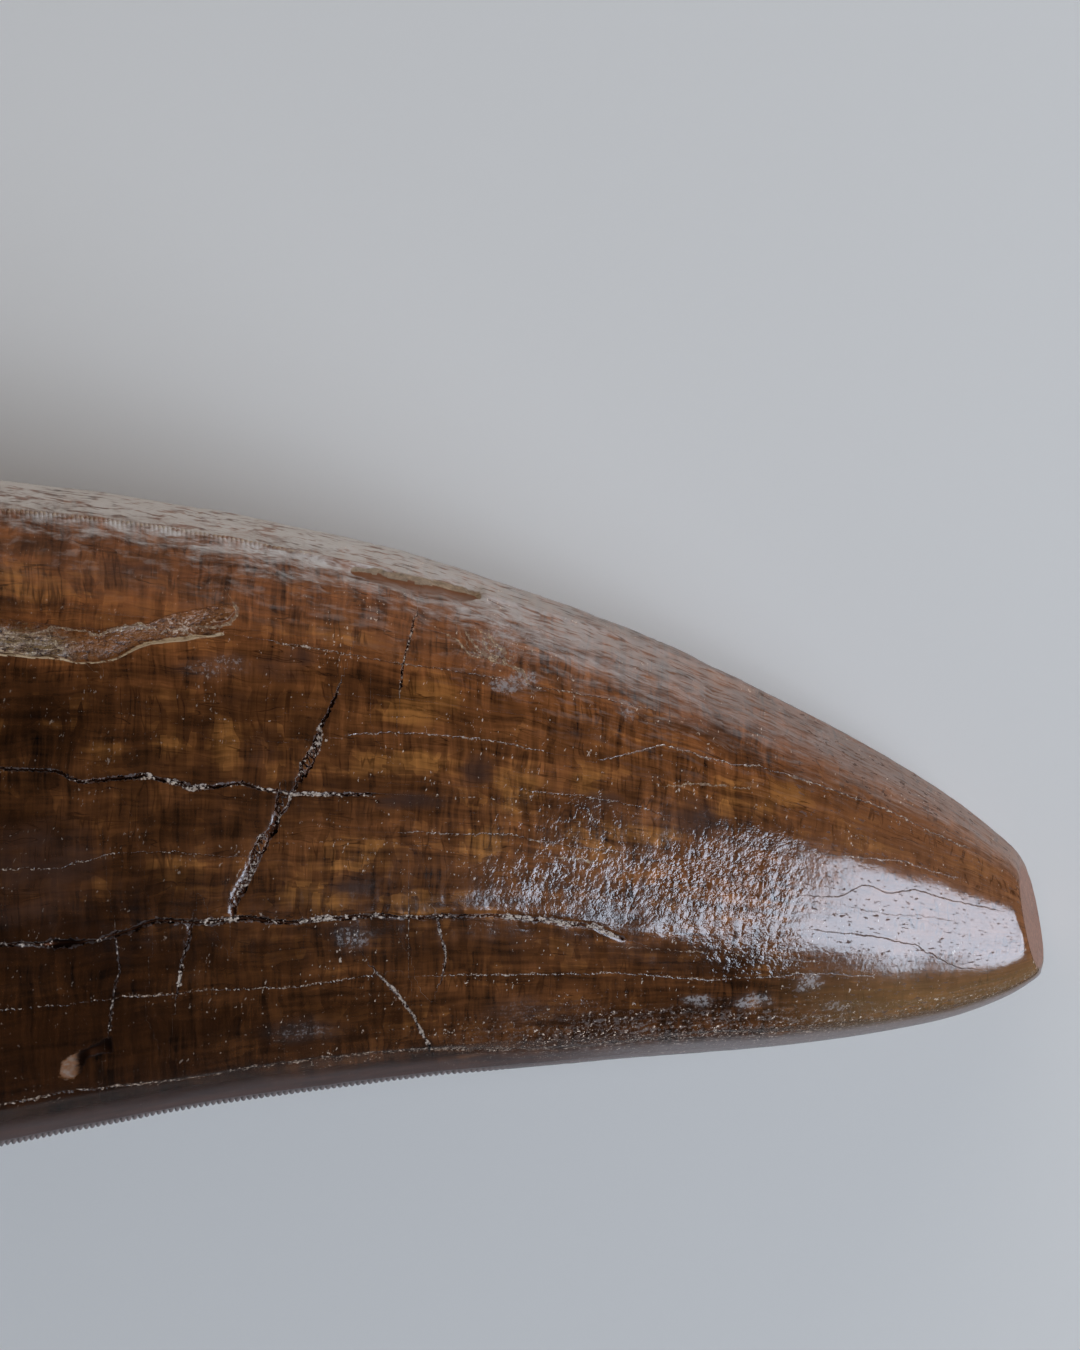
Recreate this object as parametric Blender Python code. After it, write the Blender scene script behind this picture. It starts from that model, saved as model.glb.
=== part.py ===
"""A fossil tyrannosaur tooth, lying on its side as one solid. Metres, +Z up.

The tip points along +X, the long convex front edge faces +Y and the back edge faces -Y. The tooth rests on
the side that faces -Z. The origin is the middle of its footprint, on the surface that it lies on.

Inside this file lengths are millimetres, and x counts from the worn tip (0) back to the broken base.
An angle runs round a cross-section: 0 at the front edge, 90 on top, 180 at the back edge.
"""

import math
import random

import bmesh
import bpy
from mathutils import Vector

MM = 0.001

# Driving dimensions
TOOTH_LENGTH = 113.0
CROWN_LENGTH = 101.0
TIP_BEFORE_WEAR = 2.0
TIP_Y = 0.1

# x, the front edge's y, the back edge's y, and the thickness from side to side
STATIONS = (
    (-113.0, 33.4, -22.4, 38.2),
    (-101.0, 33.3, -20.6, 37.4),
    (-87.0, 32.8, -17.7, 35.6),
    (-73.0, 31.5, -15.0, 33.0),
    (-59.0, 29.5, -12.3, 29.8),
    (-45.0, 26.5, -10.4, 26.0),
    (-31.0, 21.8, -9.1, 21.6),
    (-17.0, 15.4, -8.0, 16.4),
    (-8.0, 10.3, -6.6, 12.4),
    (-3.0, 6.6, -5.0, 9.6),
    (0.0, 3.7, -3.2, 7.2),
    (1.5, 1.9, -1.4, 4.8),
)
EDGE_HEIGHT_SHARE = 0.47
TIP_LIFT = 1.2
TIP_LIFT_LENGTH = 10.0
TOP_FULLNESS = 2.1
UNDERSIDE_FULLNESS = 2.4
RESTING_FLAT = 0.25

# The back edge pinches into a keel past this share of the half depth, and the keel carries a slim ridge
KEEL_START = 0.88
KEEL_RIDGE_SHARE = 0.024
# The front edge's ridge climbs on to the top side towards the base: x, angle
FRONT_RIDGE_ANGLES = ((-113.0, 42.0), (-87.0, 32.0), (-70.0, 26.0), (-40.0, 24.0), (-20.0, 12.0), (1.4, 6.0))
FRONT_RIDGE_SHARE = 0.013

# Serrations: pitch, depth of the notches, and the stretch of each edge that still has them
BACK_SERRATION = {"pitch": 0.42, "depth": 0.28, "start": -96.5, "end": -37.0}
FRONT_SERRATION = {"pitch": 0.315, "depth": 0.18, "start": -91.0, "end": -51.0}
SERRATION_CORNERS = 3

# The enamel ends in a low step above the root
ENAMEL_THICKNESS = 0.35
ENAMEL_MARGIN_WAVE = 1.6
ENAMEL_STEP_LENGTH = 0.6

# The tip's wear facet: a point on it, its normal, and how far its rim is rounded over
WEAR_POINT = Vector((-0.6, 0.8, 4.2))
WEAR_NORMAL = Vector((0.972, 0.163, 0.17)).normalized()
WEAR_RIM = 0.5

# The broken base: the scoops chipped out of its rim, and the shallow pulp hollow in its middle
RIM_SCOOPS = 19
RIM_SCOOP_DEPTHS = (0.15, 2.0)
BREAK_RINGS = (0.93, 0.86, 0.34)
BREAK_RING_DEPTH = 0.35
PULP_RING = 0.24
PULP_DEPTH = 1.1

# Cross-section columns, as angles. Each ridge has a crest with a foot on either side.
FRONT_RIDGE = 24.0
FRONT_FEET = (FRONT_RIDGE - 2.4, FRONT_RIDGE + 2.4)
FRONT_RIDGE_REACH = 60.0
BACK_KEEL = 180.0
BACK_FEET = (BACK_KEEL - 8.5, 8.5 - BACK_KEEL)
KEEL_ANGLE = math.degrees(math.acos(-KEEL_START))
PLAIN_COLUMN_GAP = 8.5
FRONT_COLUMNS = (FRONT_FEET[0], FRONT_RIDGE, FRONT_FEET[1])
BACK_COLUMNS = (KEEL_ANGLE, BACK_FEET[0], BACK_KEEL, BACK_FEET[1], -KEEL_ANGLE)

# Rings along the tooth. The crown's are a whole number of both serrations apart.
ROOT_RING_SPACING = 3.8
CROWN_RING_SPACING = 5.04
TIP_RINGS = (-12.2, -9.7, -7.6, -5.8, -4.3, -3.1, -2.2, -1.7, -1.3, -0.9, -0.5, -0.1, 0.3, 0.7, 1.1, 1.5)

# Cracks in the side that faces up: half width, then x and y along each
CRACKS = {
    "upper_long_crack": (0.26, ((-79.0, 11.4), (-73.1, 11.2), (-68.9, 11.0), (-66.8, 10.4), (-63.6, 10.7),
                                (-61.2, 10.1), (-58.4, 9.8), (-55.9, 10.1), (-53.8, 9.5), (-48.6, 9.4))),
    "lower_long_crack": (0.3, ((-82.0, -1.9), (-78.7, -1.4), (-73.1, -0.8), (-69.7, -1.0), (-65.7, -0.6),
                               (-64.0, -0.1), (-60.8, 0.7), (-56.6, 0.9), (-52.8, 0.6), (-45.1, 0.9),
                               (-36.0, 0.6), (-30.4, -0.3))),
    "cross_crack": (0.34, ((-48.9, 17.3), (-50.0, 15.4), (-50.5, 13.2), (-51.7, 11.2), (-52.6, 9.5),
                           (-54.0, 7.4), (-55.6, 4.6), (-56.3, 2.8), (-56.8, 0.9))),
    "back_groove": (0.26, ((-46.7, -3.0), (-45.4, -4.3), (-44.2, -6.0), (-43.0, -8.1))),
    "front_long_crack": (0.18, ((-57.5, 20.5), (-53.8, 20.0), (-48.9, 19.2), (-44.7, 18.5), (-41.4, 17.9),
                                (-36.1, 16.9), (-30.0, 16.0))),
}
CRACK_END_SHARE = 0.3

# Places where enamel has come away: depth, then the outline's x and y
FLAKES = {
    "flaked_patch": (0.45, ((-86.0, 19.6), (-80.0, 19.0), (-73.1, 19.3), (-68.5, 18.9), (-65.2, 18.8),
                            (-63.6, 19.7), (-61.2, 20.2), (-57.5, 20.6), (-56.4, 22.1), (-57.2, 22.7),
                            (-59.1, 22.3), (-62.6, 21.7), (-66.1, 21.8), (-73.1, 22.0), (-80.0, 22.4),
                            (-85.0, 21.6))),
    "front_ridge_chip": (0.6, ((-47.2, 24.7), (-46.6, 25.4), (-43.0, 24.6), (-39.5, 23.9), (-39.4, 22.9),
                               (-42.3, 23.2))),
    "back_spall": (0.8, ((-65.6, -7.7), (-65.4, -8.5), (-67.0, -8.9), (-67.5, -9.9), (-68.9, -10.6),
                         (-68.8, -9.4), (-67.8, -8.4))),
}
CUTTER_CLEARANCE = 2.0
SKIN_EPSILON = 0.999

ENAMEL_COLOUR = (0.075, 0.026, 0.011, 1.0)
ENAMEL_ROUGHNESS = 0.28


def smooth_value(rows, x, column):
    """The value of one column of rows at x, on a smooth curve through all the rows."""
    last = len(rows) - 1
    i = next((k for k in range(last) if x <= rows[k + 1][0]), last - 1)

    def slope(k):
        before, after = rows[max(k - 1, 0)], rows[min(k + 1, last)]
        return (after[column] - before[column]) / (after[0] - before[0])

    (x0, y0), (x1, y1) = ((rows[k][0], rows[k][column]) for k in (i, i + 1))
    width = x1 - x0
    t = min(max((x - x0) / width, 0.0), 1.0)
    rise = y1 - y0
    turn_in, turn_out = slope(i) * width - rise, rise - slope(i + 1) * width
    return y0 + rise * t + t * (1 - t) * (turn_in * (1 - t) + turn_out * t)


def section_at(x):
    """The cross-section at x: its middle's y, its half depth, its heights above and below its two edges, and
    how high the edges stand above the surface that the tooth lies on."""
    front, back, thickness = (smooth_value(STATIONS, x, column) for column in (1, 2, 3))
    below = EDGE_HEIGHT_SHARE * thickness
    lift = TIP_LIFT * max(1 + x / TIP_LIFT_LENGTH, 0.0) ** 2
    return (front + back) / 2, (front - back) / 2, thickness - below, below, below + lift - RESTING_FLAT


def height_share(across, fullness):
    """How high the skin stands at a share across the half depth, from 0 at an edge to 1 in the middle."""
    if across < -KEEL_START:
        keel_top = (1 - KEEL_START**fullness) ** (1 / fullness)
        return keel_top * (1 + across) / (1 - KEEL_START)
    return max(1 - abs(across) ** fullness, 0.0) ** (1 / fullness)


def skin_height(x, y):
    """The height of the top side at x, y, above the surface that the tooth lies on."""
    middle, half, above, _, edge_height = section_at(x)
    across = min(max((y - middle) / half, -SKIN_EPSILON), SKIN_EPSILON)
    return edge_height + above * height_share(across, TOP_FULLNESS)


def skin_point(x, angle, raised=0.0):
    """A point of the skin, moved outwards by raised."""
    middle, half, above, below, edge_height = section_at(x)
    across = math.cos(math.radians(angle))
    if math.sin(math.radians(angle)) >= 0:
        height = above * height_share(across, TOP_FULLNESS)
    else:
        height = -below * height_share(across, UNDERSIDE_FULLNESS)
    outwards = Vector((0.0, half * across, height))
    place = Vector((x, middle, edge_height)) + outwards + outwards.normalized() * raised
    place.z = max(place.z, 0.0)
    return place


def column_angle(x, angle):
    """The angle of a column at x: the front ridge's column follows the ridge and takes its neighbours along."""
    pull = max(1 - abs(angle - FRONT_RIDGE) / FRONT_RIDGE_REACH, 0.0)
    return angle + pull * (smooth_value(FRONT_RIDGE_ANGLES, x, 1) - FRONT_RIDGE)


def ring_point(x, angle):
    """A point of the ring at x, with the front ridge raised, the root stepped in and the enamel margin wavy."""
    near_margin = max(1 - abs(x + CROWN_LENGTH) / (TOOTH_LENGTH - CROWN_LENGTH), 0.0)
    placed = x + ENAMEL_MARGIN_WAVE * near_margin * math.cos(math.radians(2 * angle))
    half = section_at(placed)[1]
    raised = 0.0
    if x < -CROWN_LENGTH:
        raised = -ENAMEL_THICKNESS
    elif angle == FRONT_RIDGE:
        raised = FRONT_RIDGE_SHARE * half
    elif angle in BACK_FEET:
        raised = -KEEL_RIDGE_SHARE * half
    return skin_point(placed, column_angle(placed, angle), raised)


def columns_between(start, stop):
    """Evenly spread columns between two angles, without the two themselves."""
    gaps = math.ceil(abs(stop - start) / PLAIN_COLUMN_GAP)
    return [start + (stop - start) * i / gaps for i in range(1, gaps)]


def columns():
    """Every column's angle, once round the section."""
    top = columns_between(FRONT_COLUMNS[-1], BACK_COLUMNS[0])
    underside = columns_between(BACK_COLUMNS[-1], FRONT_COLUMNS[0])
    return [*FRONT_COLUMNS, *top, *BACK_COLUMNS, *underside]


def ring_places():
    """The x of every ring, from the base to the tip."""
    root_rings = round((TOOTH_LENGTH - CROWN_LENGTH) / ROOT_RING_SPACING)
    root = [-TOOTH_LENGTH + i * ROOT_RING_SPACING for i in range(root_rings)]
    step = [-CROWN_LENGTH - ENAMEL_STEP_LENGTH, -CROWN_LENGTH]
    crown_rings = int((TIP_RINGS[0] + CROWN_LENGTH) / CROWN_RING_SPACING)
    crown = [-CROWN_LENGTH + i * CROWN_RING_SPACING for i in range(1, crown_rings + 1)]
    return root + step + crown + list(TIP_RINGS)


def column_side(bm, angle, places, ends):
    """The vertices of one column between two rings. On a serrated stretch a ridge's foot has one for each
    serration, and its crest has more, every third one set back as a notch."""
    ridges = ((FRONT_COLUMNS, FRONT_RIDGE, FRONT_SERRATION), (BACK_COLUMNS[1:-1], BACK_KEEL, BACK_SERRATION))
    for ridge_columns, crest, serration in ridges:
        if angle not in ridge_columns or places[0] < serration["start"] or places[1] > serration["end"]:
            continue
        count = round((places[1] - places[0]) / serration["pitch"])
        steps = count * SERRATION_CORNERS if angle == crest else count
        side = [ends[0]]
        for i in range(1, steps):
            place = ends[0].co.lerp(ends[1].co, i / steps)
            if angle == crest and i % SERRATION_CORNERS == 0:
                middle, _, _, _, edge_height = section_at(place.x)
                inwards = Vector((0.0, middle - place.y, edge_height - place.z))
                place += inwards.normalized() * serration["depth"]
            side.append(bm.verts.new(place))
        return side + [ends[1]]
    return list(ends)


def bridge(bm, one, other):
    """Faces between the two sides of a strip, each a row of evenly spaced vertices with its own count."""
    i = j = 0
    one_steps, other_steps = len(one) - 1, len(other) - 1
    while i < one_steps or j < other_steps:
        corners = [one[i], other[j]]
        lead = (i + 1) * other_steps - (j + 1) * one_steps
        if lead >= 0:
            j += 1
            corners.append(other[j])
        if lead <= 0:
            i += 1
            corners.append(one[i])
        bm.faces.new(corners)


def close_base(bm, rim):
    """The broken base: a flat break with a chipped rim and a shallow hollow where the pulp was."""
    middle, _, _, _, edge_height = section_at(-TOOTH_LENGTH)
    centre = Vector((-TOOTH_LENGTH, middle, edge_height))

    def ring(share, depth):
        made = []
        for vertex in rim:
            place = centre + (vertex.co - centre) * share
            place.x = -TOOTH_LENGTH + depth
            made.append(bm.verts.new(place))
        return made

    ledge, *flat = BREAK_RINGS
    rings = [rim, ring(ledge, BREAK_RING_DEPTH)]
    rings += [ring(share, 0.0) for share in flat]
    rings.append(ring(PULP_RING, PULP_DEPTH))
    for outer, inner in zip(rings, rings[1:]):
        for j in range(len(rim)):
            bm.faces.new((outer[j - 1], outer[j], inner[j], inner[j - 1]))
    bm.faces.new(rings[-1])


def chip_rim(rim):
    """Sets the break's rim back unevenly, in broad scoops."""
    dice = random.Random(4)
    depths = [dice.uniform(*RIM_SCOOP_DEPTHS) for _ in range(RIM_SCOOPS)]
    for j, vertex in enumerate(rim):
        scoop, share = divmod(j * RIM_SCOOPS / len(rim), 1.0)
        depth, following = depths[int(scoop)], depths[(int(scoop) + 1) % RIM_SCOOPS]
        vertex.co.x = -TOOTH_LENGTH + depth * (1 - share) + following * share


def wear_tip(bm):
    """Presses what stands past the wear facet's plane on to it, with a rounded rim."""
    for vertex in bm.verts:
        past = (vertex.co - WEAR_POINT).dot(WEAR_NORMAL)
        rounding = max(WEAR_RIM - abs(past), 0.0) ** 2 / (4 * WEAR_RIM)
        vertex.co -= WEAR_NORMAL * (max(past, 0.0) + rounding)
        vertex.co.z = max(vertex.co.z, 0.0)


def tooth_body():
    """The whole tooth before its cracks and flakes, in millimetres."""
    bm = bmesh.new()
    angles, places = columns(), ring_places()
    rings = [[bm.verts.new(ring_point(x, angle)) for angle in angles] for x in places]
    chip_rim(rings[0])
    for k in range(len(places) - 1):
        ends = zip(angles, rings[k], rings[k + 1])
        sides = [column_side(bm, angle, places[k : k + 2], pair) for angle, *pair in ends]
        for j, side in enumerate(sides):
            bridge(bm, sides[j - 1], side)
    tip = bm.verts.new((TIP_BEFORE_WEAR, TIP_Y, section_at(TIP_BEFORE_WEAR)[-1]))
    for j, vertex in enumerate(rings[-1]):
        bm.faces.new((rings[-1][j - 1], vertex, tip))
    close_base(bm, rings[0])
    wear_tip(bm)
    bmesh.ops.recalc_face_normals(bm, faces=bm.faces[:])
    return bm


def footprint_middle(bm):
    """The middle of the body's footprint, which becomes the origin."""
    low = [min(vertex.co[axis] for vertex in bm.verts) for axis in (0, 1)]
    high = [max(vertex.co[axis] for vertex in bm.verts) for axis in (0, 1)]
    return Vector(((low[0] + high[0]) / 2, (low[1] + high[1]) / 2, 0.0))


def new_object(name, bm, origin, collection):
    """An object of a millimetre bmesh, moved so that origin is the world's origin, in metres."""
    bmesh.ops.translate(bm, verts=bm.verts[:], vec=-origin)
    bmesh.ops.scale(bm, verts=bm.verts[:], vec=(MM, MM, MM))
    mesh = bpy.data.meshes.new(name)
    bm.to_mesh(mesh)
    bm.free()
    made = bpy.data.objects.new(name, mesh)
    collection.objects.link(made)
    return made


def crack_cutter(name, half_width, route, origin, collection):
    """A slim square-sided tube along a crack, half sunk in the skin and tapered at its ends."""
    curve = bpy.data.curves.new(name, "CURVE")
    curve.dimensions = "3D"
    curve.bevel_depth = half_width * MM
    curve.bevel_resolution = 0
    curve.use_fill_caps = True
    spline = curve.splines.new("POLY")
    spline.use_smooth = False
    spline.points.add(len(route) - 1)
    for i, (point, (x, y)) in enumerate(zip(spline.points, route)):
        place = (Vector((x, y, skin_height(x, y))) - origin) * MM
        point.co = (*place, 1.0)
        point.radius = CRACK_END_SHARE if i in (0, len(route) - 1) else 1.0
    tube = bpy.data.objects.new(name, curve)
    collection.objects.link(tube)
    graph = bpy.context.evaluated_depsgraph_get()
    graph.update()
    mesh = bpy.data.meshes.new_from_object(tube.evaluated_get(graph))
    bm = bmesh.new()
    bm.from_mesh(mesh)
    bmesh.ops.remove_doubles(bm, verts=bm.verts[:], dist=1e-6)
    bmesh.ops.recalc_face_normals(bm, faces=bm.faces[:])
    bm.to_mesh(mesh)
    bm.free()
    cutter = bpy.data.objects.new(name + "_cutter", mesh)
    cutter.matrix_world = tube.matrix_world
    collection.objects.link(cutter)
    bpy.data.objects.remove(tube)
    return cutter


def flake_cutter(name, depth, outline, origin, collection):
    """A block with a flake's outline whose floor lies depth below the skin."""
    bm = bmesh.new()
    floor = [bm.verts.new((x, y, skin_height(x, y) - depth)) for x, y in outline]
    roof = [bm.verts.new((x, y, skin_height(x, y) + CUTTER_CLEARANCE)) for x, y in outline]
    bm.faces.new(floor)
    bm.faces.new(roof)
    for i in range(len(outline)):
        bm.faces.new((floor[i - 1], floor[i], roof[i], roof[i - 1]))
    bmesh.ops.triangulate(bm, faces=bm.faces[:])
    bmesh.ops.recalc_face_normals(bm, faces=bm.faces[:])
    return new_object(name + "_cutter", bm, origin, collection)


def cut(tooth, cutter):
    """Takes a cutter's shape out of the tooth."""
    cutter.hide_render = True
    cutter.display_type = "WIRE"
    boolean = tooth.modifiers.new(cutter.name, "BOOLEAN")
    boolean.operation = "DIFFERENCE"
    boolean.object = cutter


def enamel():
    """Dark brown fossil enamel with a polish."""
    material = bpy.data.materials.new("enamel")
    material.use_nodes = True
    shader = material.node_tree.nodes["Principled BSDF"]
    shader.inputs["Base Color"].default_value = ENAMEL_COLOUR
    shader.inputs["Roughness"].default_value = ENAMEL_ROUGHNESS
    shader.inputs["Metallic"].default_value = 0.0
    return material


def new_collection(name):
    """A collection linked to the scene."""
    made = bpy.data.collections.new(name)
    bpy.context.scene.collection.children.link(made)
    return made


def build():
    for old in list(bpy.data.objects):
        bpy.data.objects.remove(old)
    parts = new_collection("tyrannosaur_tooth")
    cutters = new_collection("cutters")
    body = tooth_body()
    origin = footprint_middle(body)
    tooth = new_object("tooth", body, origin, parts)
    tooth.data.materials.append(enamel())
    tooth.data.shade_smooth()
    tooth.data.set_sharp_from_angle(angle=math.radians(30))
    for name, (depth, outline) in FLAKES.items():
        cut(tooth, flake_cutter(name, depth, outline, origin, cutters))
    for name, (half_width, route) in CRACKS.items():
        cut(tooth, crack_cutter(name, half_width, route, origin, cutters))


build()
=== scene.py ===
"""A fossil tyrannosaur tooth lying on its side on a plain pale floor, seen from straight above.

The tooth is one piece. Its skin repeats the CAD solid's cross-sections on a fine grid, with the serrations,
cracks, flaked enamel, chips, wrinkles and the broken base's relief as real shape.

Lengths are millimetres until the mesh is made. x counts from the worn tip (0) back to the broken base, y
points to the long convex front edge, and z up. An angle runs round a cross-section: 0 at the front edge, 90
on top, 180 at the back edge. Markings are placed on a picture plane: the level plane that the camera sees
them against, PICTURE_HEIGHT above the floor.
"""

import math
import random

import bmesh
import bpy
import numpy as np
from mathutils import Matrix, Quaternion, Vector, noise


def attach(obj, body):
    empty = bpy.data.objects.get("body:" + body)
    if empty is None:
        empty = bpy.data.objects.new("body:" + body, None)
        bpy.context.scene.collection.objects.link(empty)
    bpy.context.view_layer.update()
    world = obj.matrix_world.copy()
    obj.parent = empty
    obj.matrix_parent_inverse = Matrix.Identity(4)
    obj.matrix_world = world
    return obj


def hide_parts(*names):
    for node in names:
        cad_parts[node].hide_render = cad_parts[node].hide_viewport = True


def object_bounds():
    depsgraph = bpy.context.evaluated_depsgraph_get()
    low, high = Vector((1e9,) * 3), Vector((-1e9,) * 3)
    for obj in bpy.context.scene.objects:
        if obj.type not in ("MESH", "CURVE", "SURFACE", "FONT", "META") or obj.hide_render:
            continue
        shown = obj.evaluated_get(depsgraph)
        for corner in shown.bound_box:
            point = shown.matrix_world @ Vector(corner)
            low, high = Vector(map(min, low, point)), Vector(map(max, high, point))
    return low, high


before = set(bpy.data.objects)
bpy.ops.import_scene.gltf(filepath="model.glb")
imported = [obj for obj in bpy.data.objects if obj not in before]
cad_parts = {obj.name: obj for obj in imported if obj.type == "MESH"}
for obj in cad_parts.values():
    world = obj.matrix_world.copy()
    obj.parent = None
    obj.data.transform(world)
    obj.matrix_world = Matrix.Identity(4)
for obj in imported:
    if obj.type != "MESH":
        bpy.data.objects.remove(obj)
cad_low, cad_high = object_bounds()

MM = 0.001

# The lowest y that the solid reaches
BACK_LIMIT = -22.05

# The solid's driving dimensions
TOOTH_LENGTH = 113.0
CROWN_LENGTH = 101.0
TIP_BEFORE_WEAR = 2.0
TIP_Y = 0.1
LAST_RING = 1.5

# x, the front edge's y, the back edge's y, and the thickness from side to side
STATIONS = (
    (-113.0, 33.4, -22.4, 38.2),
    (-101.0, 33.3, -20.6, 37.4),
    (-87.0, 32.8, -17.7, 35.6),
    (-73.0, 31.5, -15.0, 33.0),
    (-59.0, 29.5, -12.3, 29.8),
    (-45.0, 26.5, -10.4, 26.0),
    (-31.0, 21.8, -9.1, 21.6),
    (-17.0, 15.4, -8.0, 16.4),
    (-8.0, 10.3, -6.6, 12.4),
    (-3.0, 6.6, -5.0, 9.6),
    (0.0, 3.7, -3.2, 7.2),
    (1.5, 1.9, -1.4, 4.8),
)
EDGE_HEIGHT_SHARE = 0.47
TIP_LIFT = 1.2
TIP_LIFT_LENGTH = 10.0
TOP_FULLNESS = 2.1
UNDERSIDE_FULLNESS = 2.4
RESTING_FLAT = 0.25

# The back edge pinches into a keel past this share of the half depth, and the keel carries a slim ridge
KEEL_START = 0.88
KEEL_RIDGE_SHARE = 0.024
KEEL_FOOT_ANGLE = 8.5
# The front edge's ridge climbs on to the top side towards the base: x, angle
FRONT_RIDGE_ANGLES = ((-113.0, 42.0), (-87.0, 32.0), (-70.0, 26.0), (-40.0, 24.0), (-20.0, 12.0), (1.5, 6.0))
FRONT_RIDGE_SHARE = 0.013
FRONT_FOOT_ANGLE = 2.4

# Serrations: pitch, depth of the notches, and the stretch of each edge that still has them
BACK_SERRATION = {"pitch": 0.42, "depth": 0.28, "start": -96.5, "end": -37.0}
FRONT_SERRATION = {"pitch": 0.315, "depth": 0.18, "start": -91.0, "end": -51.0}
SERRATION_STEPS = 5

ENAMEL_THICKNESS = 0.35
ENAMEL_MARGIN_WAVE = 1.6
ENAMEL_STEP_LENGTH = 0.6

# The tip's wear facet: a point on it, its normal, and how far its rim is rounded over
WEAR_POINT = np.array((-0.6, 0.8, 4.2))
WEAR_NORMAL = np.array((0.972, 0.163, 0.17)) / np.linalg.norm((0.972, 0.163, 0.17))
WEAR_RIM = 0.5

# The broken base: scoops out of its rim, by their place round it, then the rings of its face
RIM_SCOOPS = 19
RIM_SCOOP_DEPTHS = (0.15, 2.0)
RIM_SCOOP_REACH = 3.8
RIM_ANGLES = (21.6, 24.0, 26.4, 151.6, 171.5, 180.0, 188.5, 208.4, 381.6)
RIM_SHARES = (0.0, 0.024, 0.048, 0.405, 0.429, 0.452, 0.476, 0.5, 1.0)
BREAK_RINGS = (0.985, 0.96, 0.93, 0.9, 0.86, 0.8, 0.73, 0.66, 0.58, 0.5, 0.42, 0.36, 0.32, 0.28, 0.23, 0.16,
               0.08)
BREAK_DEPTHS = ((0.0, 1.25), (0.22, 1.05), (0.27, 0.8), (0.34, 0.06), (0.86, 0.0), (0.93, 0.35), (1.0, 0.4))

# The grid: how far apart the rings are along the tooth, and the columns on each side
RING_SPACINGS = ((-113.0, 0.9), (-104.0, 0.8), (-103.0, 0.3), (-99.5, 0.3), (-98.0, 0.8), (-78.0, 0.7),
                 (-75.5, 0.27), (-58.0, 0.25), (-57.0, 0.2), (-42.5, 0.2), (-40.0, 0.25), (-12.0, 0.24),
                 (-2.0, 0.17), (1.5, 0.13))
TOP_COLUMNS = 180
UNDERSIDE_COLUMNS = 38
# Long cracks that the top side's columns crowd towards: x and y along each
CROWDED_PATHS = (
    ((-73.1, 11.3), (-63.0, 10.8), (-48.7, 9.5), (-38.0, 9.0)),
    ((-73.1, -0.9), (-65.7, -0.6), (-60.8, 0.7), (-45.1, 0.9), (-30.4, -0.2), (-15.0, 0.0)),
    ((-73.1, 19.3), (-64.5, 19.2), (-57.5, 20.6), (-46.5, 18.9), (-31.1, 16.3), (-22.0, 11.8), (-5.2, 5.7)),
)
CROWD_REACH = 0.5
CROWD_GAIN = 2.2

# The camera looks straight down at this place of the picture plane
PICTURE_HEIGHT = 10.0
PICTURE_CENTRE = np.array((-35.3, 17.85))
PICTURE_SIZE = 94.5
CAMERA_DISTANCE = 900.0
SENSOR_WIDTH = 36.0

# The window whose reflection lies on the tip: azimuth, elevation, width and height of each pane
WINDOW_PANES = (
    ("upper_window", -14.2, 38.4, 0.72, 0.3),
    ("middle_window", -21.0, 27.0, 0.7, 0.1),
    ("lower_window", -26.0, 16.4, 0.74, 0.28),
)
WINDOW_DISTANCE = 1.0
WINDOW_LEAN = -8.0
WINDOW_RADIANCE = 11.4
WINDOW_COLOUR = (0.71, 0.825, 1.0)
# The other lights: azimuth, elevation, width, height, radiance, colour, and whether gloss mirrors them
SOFT_LIGHTS = (
    ("front_edge_light", 90.0, 11.0, 1.6, 0.36, 4.1, (1.0, 0.96, 0.9), False),
    ("base_light", 180.0, 28.0, 1.0, 0.5, 1.0, (1.0, 0.97, 0.94), True),
    ("back_edge_light", -90.0, 12.0, 1.4, 0.4, 0.3, (1.0, 0.96, 0.94), False),
)
LIGHT_DISTANCE = 1.1

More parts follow.
